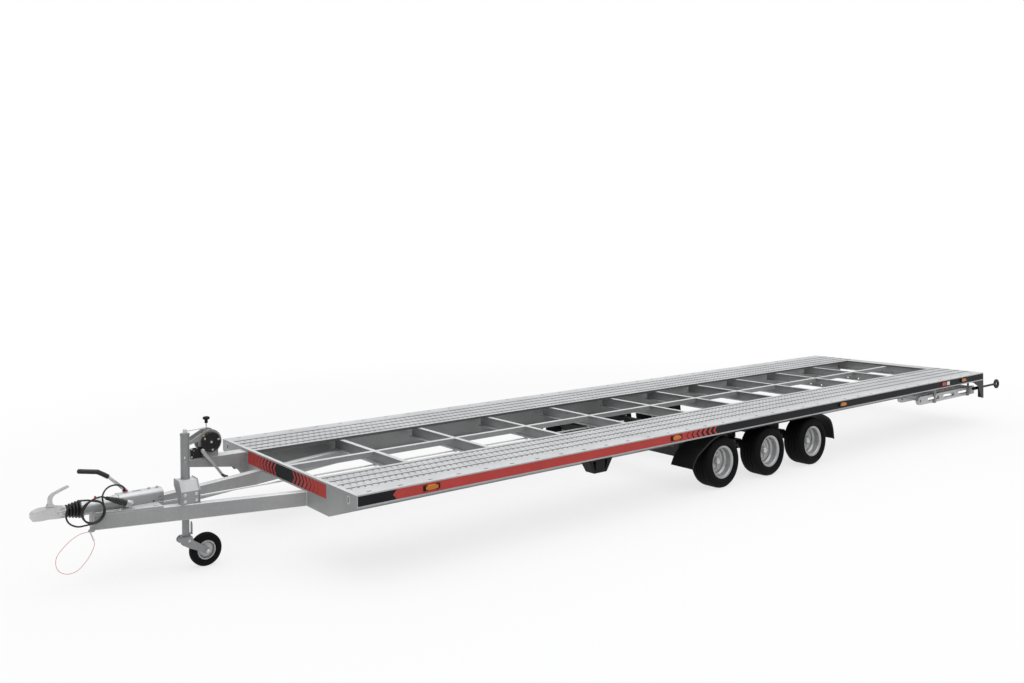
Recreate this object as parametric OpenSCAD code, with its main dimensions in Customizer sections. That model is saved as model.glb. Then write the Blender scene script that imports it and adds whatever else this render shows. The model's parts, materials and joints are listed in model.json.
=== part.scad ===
// Tri-axle open car hauler trailer with a ladder frame, perforated wheel tracks and a V drawbar.
// +X points to the coupling, +Y to the left side, +Z up; the ground is Z = 0.

/* [Deck] */
// Length of the deck from front panel to rear panel
deck_l = 8500; // [7000:50:9500]
// Width over the side rails
deck_w = 2100; // [1900:10:2400]
// Width of one wheel track inside the rail's lip
track_w = 470; // [400:5:560]
// Height of a track's folded plank
plank_h = 20; // [16:1:30]
// Sheet thickness of the planks
plank_t = 3; // [2:0.5:5]
// Spacing of the grooves with the hole rows
groove_pitch = 108; // [95:1:115]
// Width of a groove
groove_w = 40; // [30:1:50]
// Depth of a groove
groove_d = 4; // [3:0.5:6]
// Diameter of the holes in the grooves
hole_d = 18; // [12:1:24]
// Spacing of the holes along a groove
hole_pitch = 52; // [40:1:80]
// Height of the side rail
rail_h = 85; // [70:1:110]
// Sheet thickness of rails and panels
sheet_t = 4; // [3:0.5:8]
// Width of the side rail's top lip
lip_w = 80; // [60:1:100]
// Spacing of the slots along the rail's top lip
slot_pitch = 240; // [200:10:400]
// Depth of the front panel's lobes below the running surface
lobe_h = 215; // [205:1:260]
// Depth of the rear corner posts below the running surface
corner_h = 290; // [240:1:340]
// Depth of the rear panel between its corner posts
rear_low = 130; // [100:1:180]
// Width of a rear corner post
post_w = 60; // [40:1:90]

/* [Ladder frame] */
// Depth of the main beams
main_h = 195; // [150:1:220]
// Flange width of the main beams
main_w = 60; // [40:1:90]
// Gap between the tyres and the main beams
beam_gap = 122.5; // [100:0.5:160]
// Depth of a crossbeam
cross_h = 95; // [70:1:120]
// Flange width of a crossbeam
cross_w = 40; // [30:1:60]
// Distance of the first crossbeam behind the deck's front
first_cross = 780; // [700:5:900]
// Spacing of the crossbeams ahead of the wheels
cross_pitch = 775; // [650:5:900]
// Depth of the centre beam
centre_h = 40; // [30:1:60]
// Width of the centre beam
centre_w = 40; // [20:1:60]
// Depth of the outriggers above the wheels
outrigger_h = 58; // [40:1:64]

/* [Drawbar] */
// Distance from the deck to the drawbar's apex
apex_x = 1330; // [1150:10:1550]
// Half spread of the drawbar at the front panel
spread = 396; // [330:1:460]
// Height of a drawbar beam
bar_h = 100; // [80:1:120]
// Width of a drawbar beam
bar_w = 60; // [50:1:80]
// Wall of a drawbar beam
bar_t = 4; // [3:0.5:8]
// Length of the drawbar beams under the deck
bar_tail = 900; // [820:10:1000]
// Height of the coupling's shaft above the drawbar
hitch_rise = 37; // [30:1:45]
// Length of the coupling head in front of the gaiter
head_l = 205; // [180:1:230]
// Length of the gaiter
gaiter_l = 95; // [80:1:110]
// Diameter of the coupling ball that fits the head
ball_d = 50; // [50:0.1:51]

/* [Jockey wheel] */
// Distance of the jockey post in front of the deck
jockey_x = 750; // [650:5:860]
// Outer diameter of the jockey post
post_d = 60; // [54:1:68]
// Diameter of the sliding tube
stem_d = 48; // [40:1:50]
// Length of the outer post
post_l = 527; // [450:1:600]
// Diameter of the jockey tyre
jockey_tyre_d = 220; // [200:1:230]
// Width of the jockey tyre
jockey_tyre_w = 65; // [55:1:72]
// Trail of the jockey wheel behind the post
jockey_trail = 135; // [125:1:150]
// Length of the crank's arm
crank_l = 150; // [120:1:170]

/* [Road wheels] */
// Diameter of the tyre
tyre_d = 449; // [420:1:480]
// Section width of the tyre
tyre_w = 195; // [165:1:215]
// Diameter over the rim flanges
rim_d = 286; // [260:1:310]
// Distance of the tyre's outer side inside the rail
tyre_inset = 32.5; // [28:0.5:50]
// Space between a tyre and the mudguard above it
wheel_gap = 34.7; // [30:0.1:50]
// Distance of the middle axle behind the deck's front
axle_x = 4410; // [4000:10:4800]
// Spacing of the axles
axle_pitch = 682; // [600:1:780]
// Side of the square axle tube
axle_w = 80; // [70:1:90]
// Height of the axle tube's centre above the wheel centre
arm_rise = 50; // [30:1:60]
// Distance of the axle tube in front of the wheel centre
arm_reach = 148; // [130:1:165]

/* [Equipment] */
// Length of a stowed loading ramp
ramp_l = 1300; // [1100:10:1450]
// Height of a loading ramp's side bars
ramp_h = 90; // [70:1:100]
// Reach of the eye rod behind the deck
rod_reach = 500; // [400:10:580]
// Reach of the winch arm in front of the deck
winch_reach = 470; // [430:5:560]
// Width of the winch arm
arm_w = 120; // [100:1:140]
// Length of a wheel chock
chock_l = 280; // [240:1:320]

/* [Hidden] */
$fn = 48;

// Gap between pieces that seat on each other without a weld
seat_gap = 0.3;
guard_t = 4;
deck_h = tyre_d + wheel_gap + guard_t + seat_gap + rail_h;
half_w = deck_w / 2;
track_out = half_w - lip_w;
track_in = track_out - track_w;
frame_top = deck_h - plank_h;
rail_z = deck_h - rail_h;
wheel_z = tyre_d / 2;
wheel_y = half_w - tyre_inset - tyre_w / 2;
main_y = wheel_y - tyre_w / 2 - beam_gap;
main_z = frame_top - main_h;
cross_z = frame_top - cross_h;
bar_z = cross_z - bar_h;
hitch_z = cross_z + hitch_rise;
nose_reach = apex_x + 70 + gaiter_l + head_l;

// The origin lies midway between the coupling's tip and the eye rod's end
front_x = (deck_l + rod_reach - nose_reach) / 2;

// Distances of the crossbeams behind the deck's front: ahead of, over and behind the wheels
wheels_front = axle_x - 475;
wheels_back = wheels_front + 3 * axle_pitch;
cross_last = deck_l - 180;
cross_at = concat([for (i = [0 : 3]) first_cross + i * cross_pitch],
    [for (i = [0 : 3]) wheels_front + i * axle_pitch],
    [for (i = [1 : 3]) wheels_back + i * (cross_last - wheels_back) / 3]);

bar_angle = atan((spread - bar_w) / apex_x);

// Distance of a drawbar beam's outer and inner face from the centre line, x in front of the deck
function bar_out(x) = spread - x * tan(bar_angle);
function bar_in(x) = bar_out(x) - bar_w / cos(bar_angle);

module place() { translate([front_x, 0, 0]) children(); }

// Extrudes a profile drawn in Y and Z along X, from x0 to x1
module along_x(x0, x1) {
    translate([x0, 0, 0]) rotate([90, 0, 90]) linear_extrude(x1 - x0) children();
}

// Extrudes a profile drawn in X and Z along Y, from y0 to y1
module along_y(y0, y1) {
    translate([0, y1, 0]) rotate([90, 0, 0]) linear_extrude(y1 - y0) children();
}

module both_sides() {
    children();
    mirror([0, 1, 0]) children();
}

module slot2d(l, w) {
    translate([-l / 2 + w / 2, 0]) circle(d = w);
    translate([l / 2 - w / 2, 0]) circle(d = w);
    square([l - w, w], center = true);
}

// Rectangle with rounded corners, its first corner at the origin
module soft_rect(w, h, r) {
    for (x = [r, w - r], y = [r, h - r]) translate([x, y]) circle(r);
    translate([0, r]) square([w, h - 2 * r]);
    translate([r, 0]) square([w - 2 * r, h]);
}

// Channel section: web at 0, flanges towards +first axis, height along the second
module channel2d(w, h, t) {
    difference() {
        square([w, h]);
        translate([t, t]) square([w, h - 2 * t]);
    }
}

// Round bar through a row of points, with a slightly fuller ball at each bend
module rod(points, d) {
    for (i = [1 : len(points) - 1]) {
        a = points[i - 1];
        v = points[i] - a;
        translate(a) rotate([0, acos(v[2] / norm(v)), atan2(v[1], v[0])]) cylinder(d = d, h = norm(v));
    }
    if (len(points) > 2) for (i = [1 : len(points) - 2]) translate(points[i]) sphere(d = 1.05 * d);
}

// Deck

slot_l = 40;
slot_w = 14;

module side_rail() {
    last = floor((deck_l - slot_pitch) / slot_pitch);
    difference() {
        along_x(-deck_l + sheet_t, -sheet_t) translate([half_w, rail_z]) mirror([1, 0]) {
            square([sheet_t, rail_h]);
            translate([0, rail_h - sheet_t]) square([lip_w, sheet_t]);
            square([lip_w / 2, sheet_t]);
        }
        for (i = [0 : last]) translate([-slot_pitch / 2 - i * slot_pitch, half_w - lip_w / 2,
            deck_h - 2 * sheet_t]) linear_extrude(3 * sheet_t) slot2d(slot_l, slot_w);
    }
}

module side_rails() { color("dimgray") both_sides() side_rail(); }

fold_w = 30;
tie_slot_y = half_w - 96;
tie_slot_z = deck_h - 48;

module front_panel() {
    mid_z = cross_z - 3;
    lobe_z = deck_h - lobe_h;
    outer_z = rail_z - 5;
    notch_z = cross_z + seat_gap;
    notch_out = spread + sheet_t * tan(bar_angle) + seat_gap;
    notch_in = bar_in(0) - seat_gap;
    half = [[0, mid_z], [notch_in, mid_z], [notch_in, notch_z], [notch_out, notch_z],
        [notch_out, lobe_z], [main_y, lobe_z], [half_w, outer_z], [half_w, deck_h]];
    far = [for (i = [len(half) - 1 : -1 : 1]) [-half[i][0], half[i][1]]];
    color("silver") difference() {
        union() {
            along_x(-sheet_t, 0) polygon(concat(half, far));
            translate([-fold_w, -track_out, deck_h - sheet_t]) cube([fold_w, 2 * track_out, sheet_t]);
        }
        both_sides() along_x(-2 * sheet_t, sheet_t) translate([tie_slot_y, tie_slot_z])
            rotate(90) slot2d(45, 24);
    }
}

rod_d = 24;
rod_y = half_w - 48;
rod_z = deck_h - 178;
socket_l = 140;

module rear_panel() {
    x0 = -deck_l;
    low_z = deck_h - corner_h;
    gusset_l = 260;
    color("dimgray") {
        along_x(x0, x0 + sheet_t) difference() {
            translate([-half_w, low_z]) square([deck_w, corner_h]);
            translate([rod_y, rod_z]) circle(d = rod_d + 2 * seat_gap);
            translate([-half_w + post_w, low_z - 1]) square([deck_w - 2 * post_w, corner_h - rear_low + 1]);
        }
        both_sides() along_y(half_w - sheet_t, half_w) polygon([[x0 + sheet_t, rail_z],
            [x0 + sheet_t, low_z], [x0 + post_w - 15, low_z], [x0 + gusset_l / 2, rail_z - post_w],
            [x0 + gusset_l, rail_z]]);
        translate([x0 + sheet_t, rod_y, rod_z]) rotate([0, 90, 0]) difference() {
            cylinder(d = rod_d + 12, h = socket_l);
            translate([0, 0, -1]) cylinder(d = rod_d + 2 * seat_gap, h = socket_l + 2);
        }
    }
}

// Folded sill that closes the ladder at the rear, resting on the last crossbeam
module end_sill() {
    l = deck_l - cross_last - sheet_t;
    color("gainsboro") along_y(-track_in, track_in) translate([-deck_l + sheet_t, frame_top])
        difference() {
            square([l, plank_h]);
            translate([sheet_t, -1]) square([l - 2 * sheet_t, plank_h - sheet_t + 1]);
        }
}

// Perforated wheel track

first_groove = track_in + 60;
floor_z = deck_h - groove_d - plank_t;

// Ridges between the grooves, skirts at the edges and the walls of the grooves
module track_ridges() {
    along_x(-deck_l + sheet_t, -fold_w) {
        difference() {
            translate([track_in, frame_top]) square([track_w, plank_h]);
            translate([track_in + plank_t, frame_top - 1])
                square([track_w - 2 * plank_t, plank_h - plank_t + 1]);
            for (i = [0 : 3])
                translate([first_groove + i * groove_pitch - groove_w / 2, deck_h - plank_t - 1])
                square([groove_w, plank_t + 2]);
        }
        for (i = [0 : 3], s = [-1, 1])
            translate([first_groove + i * groove_pitch + s * groove_w / 2 - plank_t / 2, floor_z])
                square([plank_t, groove_d + plank_t]);
    }
}

// Floor of one groove with its row of holes
module groove_floor(y) {
    l = deck_l - sheet_t - fold_w;
    holes = floor((l - hole_pitch) / hole_pitch);
    translate([-fold_w - l, y - groove_w / 2, floor_z]) linear_extrude(plank_t) difference() {
        square([l, groove_w]);
        for (i = [0 : holes]) translate([l - 36 - i * hole_pitch, groove_w / 2])
            circle(d = hole_d, $fn = 24);
    }
}

module track() {
    track_ridges();
    for (i = [0 : 3]) groove_floor(first_groove + i * groove_pitch);
}

module track_left() { color("gainsboro") track(); }
module track_right() { color("gainsboro") mirror([0, 1, 0]) track(); }

// Ladder frame

web_t = 6;
axle_hole_gap = 163;

module main_beam() {
    difference() {
        along_x(-deck_l + sheet_t, -sheet_t) translate([main_y, main_z]) mirror([1, 0])
            channel2d(main_w, main_h, web_t);
        for (i = [-1 : 1], s = [-1, 1])
            translate([-axle_x - i * axle_pitch + arm_reach + s * axle_hole_gap / 2,
                main_y - 2 * web_t, main_z + main_h / 6]) rotate([-90, 0, 0])
                cylinder(d = 18, h = 3 * web_t);
    }
}

module main_beams() { color("darkgray") both_sides() main_beam(); }

module centre_beam() {
    starts = concat([sheet_t], [for (c = cross_at) c + cross_w]);
    color("silver") for (i = [0 : len(cross_at) - 1]) along_x(-cross_at[i], -starts[i])
        translate([-centre_w / 2, frame_top - centre_h]) difference() {
            square([centre_w, centre_h]);
            translate([sheet_t, -1]) square([centre_w - 2 * sheet_t, centre_h - sheet_t + 1]);
        }
}

// Channels between the main beams; those behind the wheels have a row of holes
module crossbeams() {
    inner = main_y - main_w;
    row_pitch = 130;
    color("silver") for (i = [0 : len(cross_at) - 1]) difference() {
        along_y(-inner, inner) translate([-cross_at[i] - cross_w, cross_z])
            channel2d(cross_w, cross_h, sheet_t);
        if (i > 7) for (k = [-3 : 2]) translate([-cross_at[i] - cross_w - 1, (k + 0.5) * row_pitch,
            cross_z + 20]) rotate([0, 90, 0]) cylinder(d = 16, h = sheet_t + 2);
    }
}

module outriggers() {
    color("silver") both_sides() for (x = cross_at) along_y(main_y, half_w - sheet_t)
        translate([-x - cross_w, frame_top - outrigger_h]) channel2d(cross_w, outrigger_h, sheet_t);
}

// Drawbar

cap_t = 6;
lug_y = 54;
lug_hole = [28, 2];

// One hollow beam, mitred at the apex and running on under the deck
module drawbar_beam() {
    reach = apex_x / cos(bar_angle) + 40;
    mitre_w = 2 * spread;
    difference() {
        translate([0, spread, bar_z]) rotate([0, 0, -bar_angle]) translate([0, -bar_w, 0])
            along_x(-bar_tail, reach) difference() {
                soft_rect(bar_w, bar_h, 8);
                translate([bar_t, bar_t]) square([bar_w - 2 * bar_t, bar_h - 2 * bar_t]);
            }
        translate([apex_x, -mitre_w, bar_z - 1]) cube([apex_x, 2 * mitre_w, bar_h + 2]);
        translate([0, -mitre_w, bar_z - 1]) cube([apex_x + 1, mitre_w, bar_h + 2]);
    }
}

// Plate on a beam's front end
module drawbar_cap() {
    translate([apex_x - cap_t, 0, bar_z]) cube([cap_t, bar_out(apex_x), bar_h]);
}

module drawbar_left() {
    color("silver") {
        drawbar_beam();
        drawbar_cap();
        along_y(lug_y - 3, lug_y + 3) translate([apex_x - 1, bar_z]) difference() {
            union() {
                translate([0, -8]) square([lug_hole[0], 34]);
                translate(lug_hole) circle(d = 20);
            }
            translate(lug_hole) circle(d = 8);
        }
    }
}

module drawbar_right() {
    color("silver") mirror([0, 1, 0]) {
        drawbar_beam();
        drawbar_cap();
    }
}

// Overrun coupling

housing_w = 110;
housing_back = apex_x - 450;
housing_mid = apex_x - 160;
housing_front = apex_x + 70;
housing_top = hitch_z + housing_w / 2;
shaft_d = 90;
base_t = 8;
gland_x = apex_x - 208;
gland_top = housing_top + 10;

// Block with round shoulders, tapering into the shaft's tube, on a plate across the beams
module overrun_housing() {
    base_back = housing_back + 40;
    color("lightgray") {
        difference() {
            union() {
                along_x(housing_back, housing_mid) {
                    translate([-housing_w / 2, cross_z]) square([housing_w, hitch_rise + 22]);
                    translate([-housing_w / 2, housing_top - 70]) soft_rect(housing_w, 70, 33);
                }
                translate([housing_mid, 0, hitch_z]) rotate([0, 90, 0])
                    cylinder(d1 = housing_w, d2 = shaft_d, h = 60);
                translate([housing_mid, 0, hitch_z]) rotate([0, 90, 0])
                    cylinder(d = shaft_d, h = housing_front - housing_mid);
                translate([housing_front - 14, 0, hitch_z]) rotate([0, 90, 0])
                    cylinder(d = 112, h = 14);
                translate([gland_x, 0, housing_top - 20]) cylinder(d = 18, h = 30);
                for (x = [28, 82]) translate([housing_back + x, 0, housing_top - 2])
                    cylinder(d = 18, h = 7);
                for (x = [-22, -224]) translate([apex_x + x, 0, hitch_z + shaft_d / 2 - 2])
                    cylinder(d = 12, h = x < -100 ? 22 : 14);
            }
            translate([housing_back - 1, -housing_w, cross_z - housing_w])
                cube([apex_x - housing_back + 1, 2 * housing_w, housing_w]);
            translate([housing_back + 160, 0, housing_top - 12]) linear_extrude(20) slot2d(62, 14);
            for (hole = [[69, -17, 14], [25, 5, 9]]) translate([housing_back + hole[0], 0,
                hitch_z + hole[1]]) rotate([90, 0, 0]) cylinder(d = hole[2], h = 2 * housing_w,
                center = true);
        }
        translate([0, 0, cross_z]) linear_extrude(base_t) polygon([[base_back, -bar_out(base_back)],
            [apex_x, -bar_out(apex_x)], [apex_x, bar_out(apex_x)], [base_back, bar_out(base_back)]]);
    }
}

gaiter_front = housing_front + gaiter_l;

// Bellows with a fold for every step, narrower towards the head
module gaiter() {
    folds = 5;
    pitch = gaiter_l / folds;
    back_r = 56;
    front_r = 36;
    function r(i) = back_r + (front_r - back_r) * i / folds;
    color("black") translate([housing_front, 0, hitch_z]) rotate([0, 90, 0])
        rotate_extrude() polygon(concat([[0, 0]],
            [for (i = [0 : folds - 1]) each [[r(i) - 9, i * pitch], [r(i), (i + 0.35) * pitch],
                [r(i), (i + 0.65) * pitch]]],
            [[front_r - 5, gaiter_l], [0, gaiter_l]]));
}

ball_x = nose_reach - 60;
ball_z = hitch_z - 13;
head_low = ball_z - 12;

// Head cut from its side view and its plan, with the ball's socket open below
module coupling_head() {
    tip = nose_reach;
    back = gaiter_front;
    color("silver") difference() {
        union() {
            intersection() {
                along_y(-60, 60) polygon([[back, hitch_z - 31], [back, hitch_z + 31],
                    [back + 60, hitch_z + 43], [ball_x + 10, hitch_z + 39], [tip - 14, hitch_z + 31],
                    [tip, hitch_z + 20], [tip, hitch_z - 8], [tip - 12, head_low], [ball_x - 48, head_low],
                    [back + 40, hitch_z - 31]]);
                translate([0, 0, head_low - 10]) linear_extrude(120) {
                    polygon([[back, -31], [back + 50, -31], [ball_x - 20, -37], [ball_x + 30, -32],
                        [tip, -17], [tip, 17], [ball_x + 30, 32], [ball_x - 20, 37], [back + 50, 31],
                        [back, 31]]);
                    translate([ball_x, 0]) circle(r = 40);
                }
            }
            translate([back, 0, hitch_z]) rotate([0, 90, 0]) cylinder(d = 70, h = 46);
            for (x = [14, 34]) translate([back + x, 0, hitch_z]) rotate([90, 0, 0])
                cylinder(d = 16, h = 84, center = true);
        }
        translate([ball_x, 0, ball_z]) sphere(d = ball_d + 2 * seat_gap);
        translate([ball_x, 0, ball_z - 40]) cylinder(d = ball_d + 2 * seat_gap, h = 40);
    }
}

// Latch lever: foot on the head, upright neck and a flat grip that sweeps back
module coupling_handle() {
    x = gaiter_front;
    z = hitch_z + 43 + seat_gap;
    color("silver") {
        along_y(-15, 15) polygon([[x + 62, z], [x + 108, z - 2], [x + 108, z + 8], [x + 100, z + 22],
            [x + 99, z + 48], [x + 92, z + 66], [x + 78, z + 78], [x + 66, z + 85], [x + 56, z + 76],
            [x + 68, z + 66], [x + 76, z + 48], [x + 74, z + 22], [x + 62, z + 10]]);
        along_y(-9, 9) polygon([[x + 70, z + 84], [x + 40, z + 97], [x + 6, z + 110], [x - 20, z + 117],
            [x - 27, z + 112], [x - 24, z + 104], [x + 2, z + 95], [x + 34, z + 82], [x + 58, z + 72]]);
    }
}

lever_y = -housing_w / 2 - seat_gap - 5;
lever_end = [apex_x - 123, hitch_z + 159.5];
grip_bend = lever_end + [27, 18];
grip_way = (grip_bend - lever_end) / norm(grip_bend - lever_end);

// Flat lever beside the housing; its end is square to the grip
module handbrake_lever() {
    x = apex_x;
    z = hitch_z;
    across = 9.5 * [-grip_way[1], grip_way[0]];
    color("silver") along_y(lever_y - 5, lever_y + 5) {
        polygon([[x - 262, z], [x - 210, z], [x - 212, z + 60], lever_end - across, lever_end + across,
            [x - 240, z + 66]]);
        translate([x - 236, z]) circle(r = 26);
    }
}

module handbrake_grip() {
    x = apex_x;
    from = lever_end + seat_gap * grip_way;
    color("black") rod([[from[0], lever_y, from[1]], [grip_bend[0], lever_y, grip_bend[1]],
        [x - 55, lever_y, hitch_z + 202], [x + 62, lever_y, hitch_z + 223]], 30);
}

// Plug and its parking socket, on one sloping axis
plug_tail = [apex_x - 62, 92, hitch_z + 67];
plug_nose = [apex_x - 192, 84, hitch_z + 10];
plug_axis = (plug_nose - plug_tail) / norm(plug_nose - plug_tail);

module on_plug_axis(from) {
    translate(from) rotate([0, acos(plug_axis[2]), atan2(plug_axis[1], plug_axis[0])]) children();
}

module plug_holder() {
    color("lightgray") difference() {
        union() {
            on_plug_axis(plug_nose + seat_gap * plug_axis) cylinder(d = 46, h = 26);
            translate([plug_nose[0] - 34, plug_nose[1] - 20, cross_z + base_t]) cube([22, 40, 24]);
            translate([plug_nose[0] - 50, plug_nose[1] - 24, cross_z + base_t]) cube([60, 44, 5]);
        }
        translate([plug_nose[0] - 100, 0, cross_z + base_t - 50]) cube([200, 200, 50]);
    }
}

module plug() {
    l = norm(plug_nose - plug_tail);
    color("black") on_plug_axis(plug_tail) rotate_extrude() polygon([[0, 2 * seat_gap], [8, 2 * seat_gap],
        [10, 24], [15, 40], [17, 60], [17, 96], [20, 100], [20, 116], [17, 120], [17, l], [0, l]]);
}

// Jockey wheel

clamp_gap = 14.6;
jockey_y = bar_in(jockey_x) - post_d / 2 - clamp_gap;
clamp_l = 130;
clamp_h = 145;
clamp_t = 5;
clamp_out = jockey_y + 95;

// Saddle that stands on the left beam, folded over to the collar round the post
module jockey_clamp() {
    low = cross_z;
    top = cross_z + clamp_h;
    back = jockey_y - post_d / 2 - 8;
    color("lightgray") difference() {
        union() {
            along_x(jockey_x - clamp_l / 2, jockey_x + clamp_l / 2) polygon([[clamp_out, low],
                [clamp_out, low + 82], [clamp_out - 38, top], [back, top], [back, top - clamp_t],
                [clamp_out - 41, top - clamp_t], [clamp_out - clamp_t, low + 80],
                [clamp_out - clamp_t, low]]);
            for (x = [jockey_x - clamp_l / 2, jockey_x + clamp_l / 2 - clamp_t]) along_x(x, x + clamp_t)
                polygon([[clamp_out + 6, low], [clamp_out + 6, low + 86], [clamp_out - 34, top + 6],
                    [back, top + 6], [back, top - 40], [clamp_out - 60, low + 40], [clamp_out - 60, low]]);
            translate([jockey_x, jockey_y, low]) cylinder(d = post_d + 14, h = clamp_h);
        }
        translate([jockey_x, jockey_y, low - 1]) cylinder(d = post_d + 2 * seat_gap, h = clamp_h + 8);
    }
}

post_foot = bar_z + 20;
post_top = post_foot + post_l;

module jockey_post() {
    color("gray") translate([jockey_x, jockey_y, 0]) difference() {
        union() {
            translate([0, 0, post_foot]) cylinder(d = post_d, h = post_l);
            translate([0, 0, post_top - 14]) cylinder(d = post_d + 5, h = 10);
        }
        translate([0, 0, post_foot - 1]) cylinder(d = stem_d + 2 * seat_gap, h = post_l - 9);
    }
}

module jockey_crank() {
    color("silver") translate([jockey_x, jockey_y, post_top]) {
        cylinder(d = 26, h = 22);
        rod([[0, 0, 13], [8 - crank_l, 0, 19], [-crank_l, 0, 25], [-crank_l, 0, 50]], 9);
    }
}

// Mushroom knob that turns on the crank's end
module jockey_knob() {
    color("black") translate([jockey_x - crank_l, jockey_y, post_top + 50 + seat_gap])
        rotate_extrude() polygon([[0, 0], [9, 0], [12, 4], [10, 20], [17, 24], [23, 28], [24, 35],
            [21, 41], [10, 44.7], [0, 44.7]]);
}

stem_foot = jockey_tyre_d + 5;
stem_head = post_foot + 362;

// Sliding tube with the guide strip behind it
module jockey_stem() {
    strip_x = -post_d / 2 - 13;
    color("gray") translate([jockey_x, jockey_y, stem_foot]) {
        cylinder(d = stem_d, h = stem_head - stem_foot);
        translate([strip_x, -12, 5]) cube([-strip_x, 24, 7]);
        along_y(-12, 12) polygon([[strip_x, 5], [strip_x, 70], [strip_x + 3, 88], [strip_x + 6, 70],
            [strip_x + 6, 5]]);
    }
}

jockey_r = jockey_tyre_d / 2;
jockey_bead = jockey_tyre_d * 0.3;
fork_t = 5;
fork_in = jockey_tyre_w / 2 + 6;
fork_z = stem_foot - seat_gap;
axle_at = jockey_x - jockey_trail;

module fork_cheek2d() {
    hull() {
        translate([axle_at, jockey_r]) circle(r = 19, $fn = 32);
        translate([jockey_x - 14, fork_z - 46]) circle(r = 28, $fn = 32);
    }
    hull() {
        translate([jockey_x - 14, fork_z - 46]) circle(r = 28, $fn = 32);
        translate([jockey_x + 28, fork_z - 27]) circle(r = 22, $fn = 32);
        translate([jockey_x - 30, fork_z - 5]) square([60, 5]);
    }
}

// Pressed fork: two cheeks, the plate under the stem, a web in front and the wheel's axle
module jockey_fork() {
    half = fork_in + fork_t;
    color("gray") {
        for (y = [jockey_y - half, jockey_y + fork_in]) along_y(y, y + fork_t) fork_cheek2d();
        along_y(jockey_y - half, jockey_y + half) {
            translate([jockey_x - 30, fork_z - 8]) square([60, 8]);
            polygon([[jockey_x + 30, fork_z - 8], [jockey_x + 45, fork_z - 20],
                [jockey_x + 48, fork_z - 34], [jockey_x + 42, fork_z - 36], [jockey_x + 38, fork_z - 22],
                [jockey_x + 24, fork_z - 8]]);
        }
        translate([axle_at, jockey_y, jockey_r]) rotate([90, 0, 0])
            cylinder(d = 16, h = 2 * half + 8, center = true);
    }
}

module jockey_rim() {
    w = jockey_tyre_w;
    b = jockey_bead - 4;
    color("lightgray") translate([axle_at, jockey_y, jockey_r]) rotate([90, 0, 0])
        translate([0, 0, -w / 2]) rotate_extrude() polygon([[8.05, 4], [20, 4], [20, 24],
            [b - 18, 22], [b - 6, 26], [b - 6, 6], [b, 6], [b + 4, 12], [b, 14], [b, w - 14],
            [b + 4, w - 12], [b, w - 6], [b - 6, w - 6], [b - 6, w - 26], [b - 18, w - 22],
            [20, w - 24], [20, w - 4], [8.05, w - 4]]);
}

// Plain tyre with two grooves in the tread
module jockey_tyre() {
    w = jockey_tyre_w;
    b = jockey_bead - 4;
    r = jockey_r;
    half = [[b + 0.2, 14], [b + 4.3, 12.2], [b + 8, 3], [r - 20, 0], [r - 6, 6], [r, 18],
        [r, w / 2 - 11], [r - 4, w / 2 - 10], [r - 4, w / 2 - 7], [r, w / 2 - 6]];
    far = [for (i = [len(half) - 1 : -1 : 0]) [half[i][0], w - half[i][1]]];
    color("black") translate([axle_at, jockey_y, r]) rotate([90, 0, 0]) translate([0, 0, -w / 2])
        rotate_extrude() polygon(concat(half, far));
}

// Winch

winch_y = main_y - 60;
arm_top = deck_h - 20;
drum_x = winch_reach - 178;
drum_z = arm_top + 116;
gear_x = drum_x + 72;
gear_z = drum_z - 54;
cover_r = 76;

module winch_place() { translate([0, -winch_y, 0]) children(); }

// Folded box that grows deeper towards the panel
module winch_arm() {
    z = arm_top;
    side = [[0, z], [winch_reach, z], [winch_reach, z - 42], [winch_reach - 12, z - 50], [100, z - 100],
        [60, z - 148], [0, z - 148]];
    color("silver") winch_place() for (y = [-arm_w / 2, arm_w / 2 - sheet_t]) {
        along_y(y, y + sheet_t) polygon(side);
        if (y < 0) {
            along_y(y, -y) polygon([[0, z - sheet_t], [0, z], [winch_reach, z], [winch_reach, z - 42],
                [winch_reach - sheet_t, z - 42], [winch_reach - sheet_t, z - sheet_t]]);
            along_y(y, -y) polygon([[winch_reach - 12, z - 50], [winch_reach - 12, z - 50 + sheet_t],
                [100, z - 100 + sheet_t], [100, z - 100]]);
        }
    }
}

// Side plates: round shell over the drum, foot and forward brace
module winch_frame() {
    z = arm_top;
    color("silver") winch_place() for (y = [-50, 38]) along_y(y, y + 5) difference() {
        union() {
            translate([drum_x, drum_z]) circle(r = 92);
            translate([drum_x - 64, z]) square([gear_x - drum_x + 150, 60]);
            polygon([[drum_x, drum_z + 92], [drum_x + 48, drum_z + 78], [winch_reach - 8, drum_z + 16],
                [winch_reach - 8, drum_z - 8], [drum_x + 60, drum_z + 20]]);
        }
        translate([drum_x, drum_z]) circle(d = 20 + 2 * seat_gap);
        translate([gear_x, gear_z]) circle(d = 12 + 2 * seat_gap);
    }
}

// Gear housing between the near plate and the cover, with its row of holes
module winch_gearbox() {
    color("black") winch_place() along_y(43 + seat_gap, 50) difference() {
        union() {
            translate([gear_x - 30, arm_top + 8]) soft_rect(116, 78, 12);
        }
        translate([gear_x, gear_z]) circle(d = 12 + 2 * seat_gap);
        for (hole = [[34, 14, 10], [58, 4, 14], [58, 30, 8], [34, -22, 8], [60, -24, 10]])
            translate([gear_x + hole[0], gear_z + hole[1]]) circle(d = hole[2], $fn = 24);
    }
}

// Shaft with barrel, far flange and the round cover on the near side
module winch_drum() {
    color("black") winch_place() translate([drum_x, 0, drum_z]) rotate([-90, 0, 0]) {
        translate([0, 0, -68]) cylinder(d = 20, h = 136);
        translate([0, 0, -43]) cylinder(d = 70, h = 80);
        translate([0, 0, -43]) cylinder(d = 130, h = 5);
        translate([0, 0, 52]) rotate_extrude() polygon([[0, 0], [cover_r, 0], [cover_r, 12],
            [cover_r - 5, 17], [cover_r - 16, 18], [cover_r - 19, 15], [18, 15], [14, 19], [0, 19]]);
    }
}

crank_end = [drum_x - 84, arm_top - 144];

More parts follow.
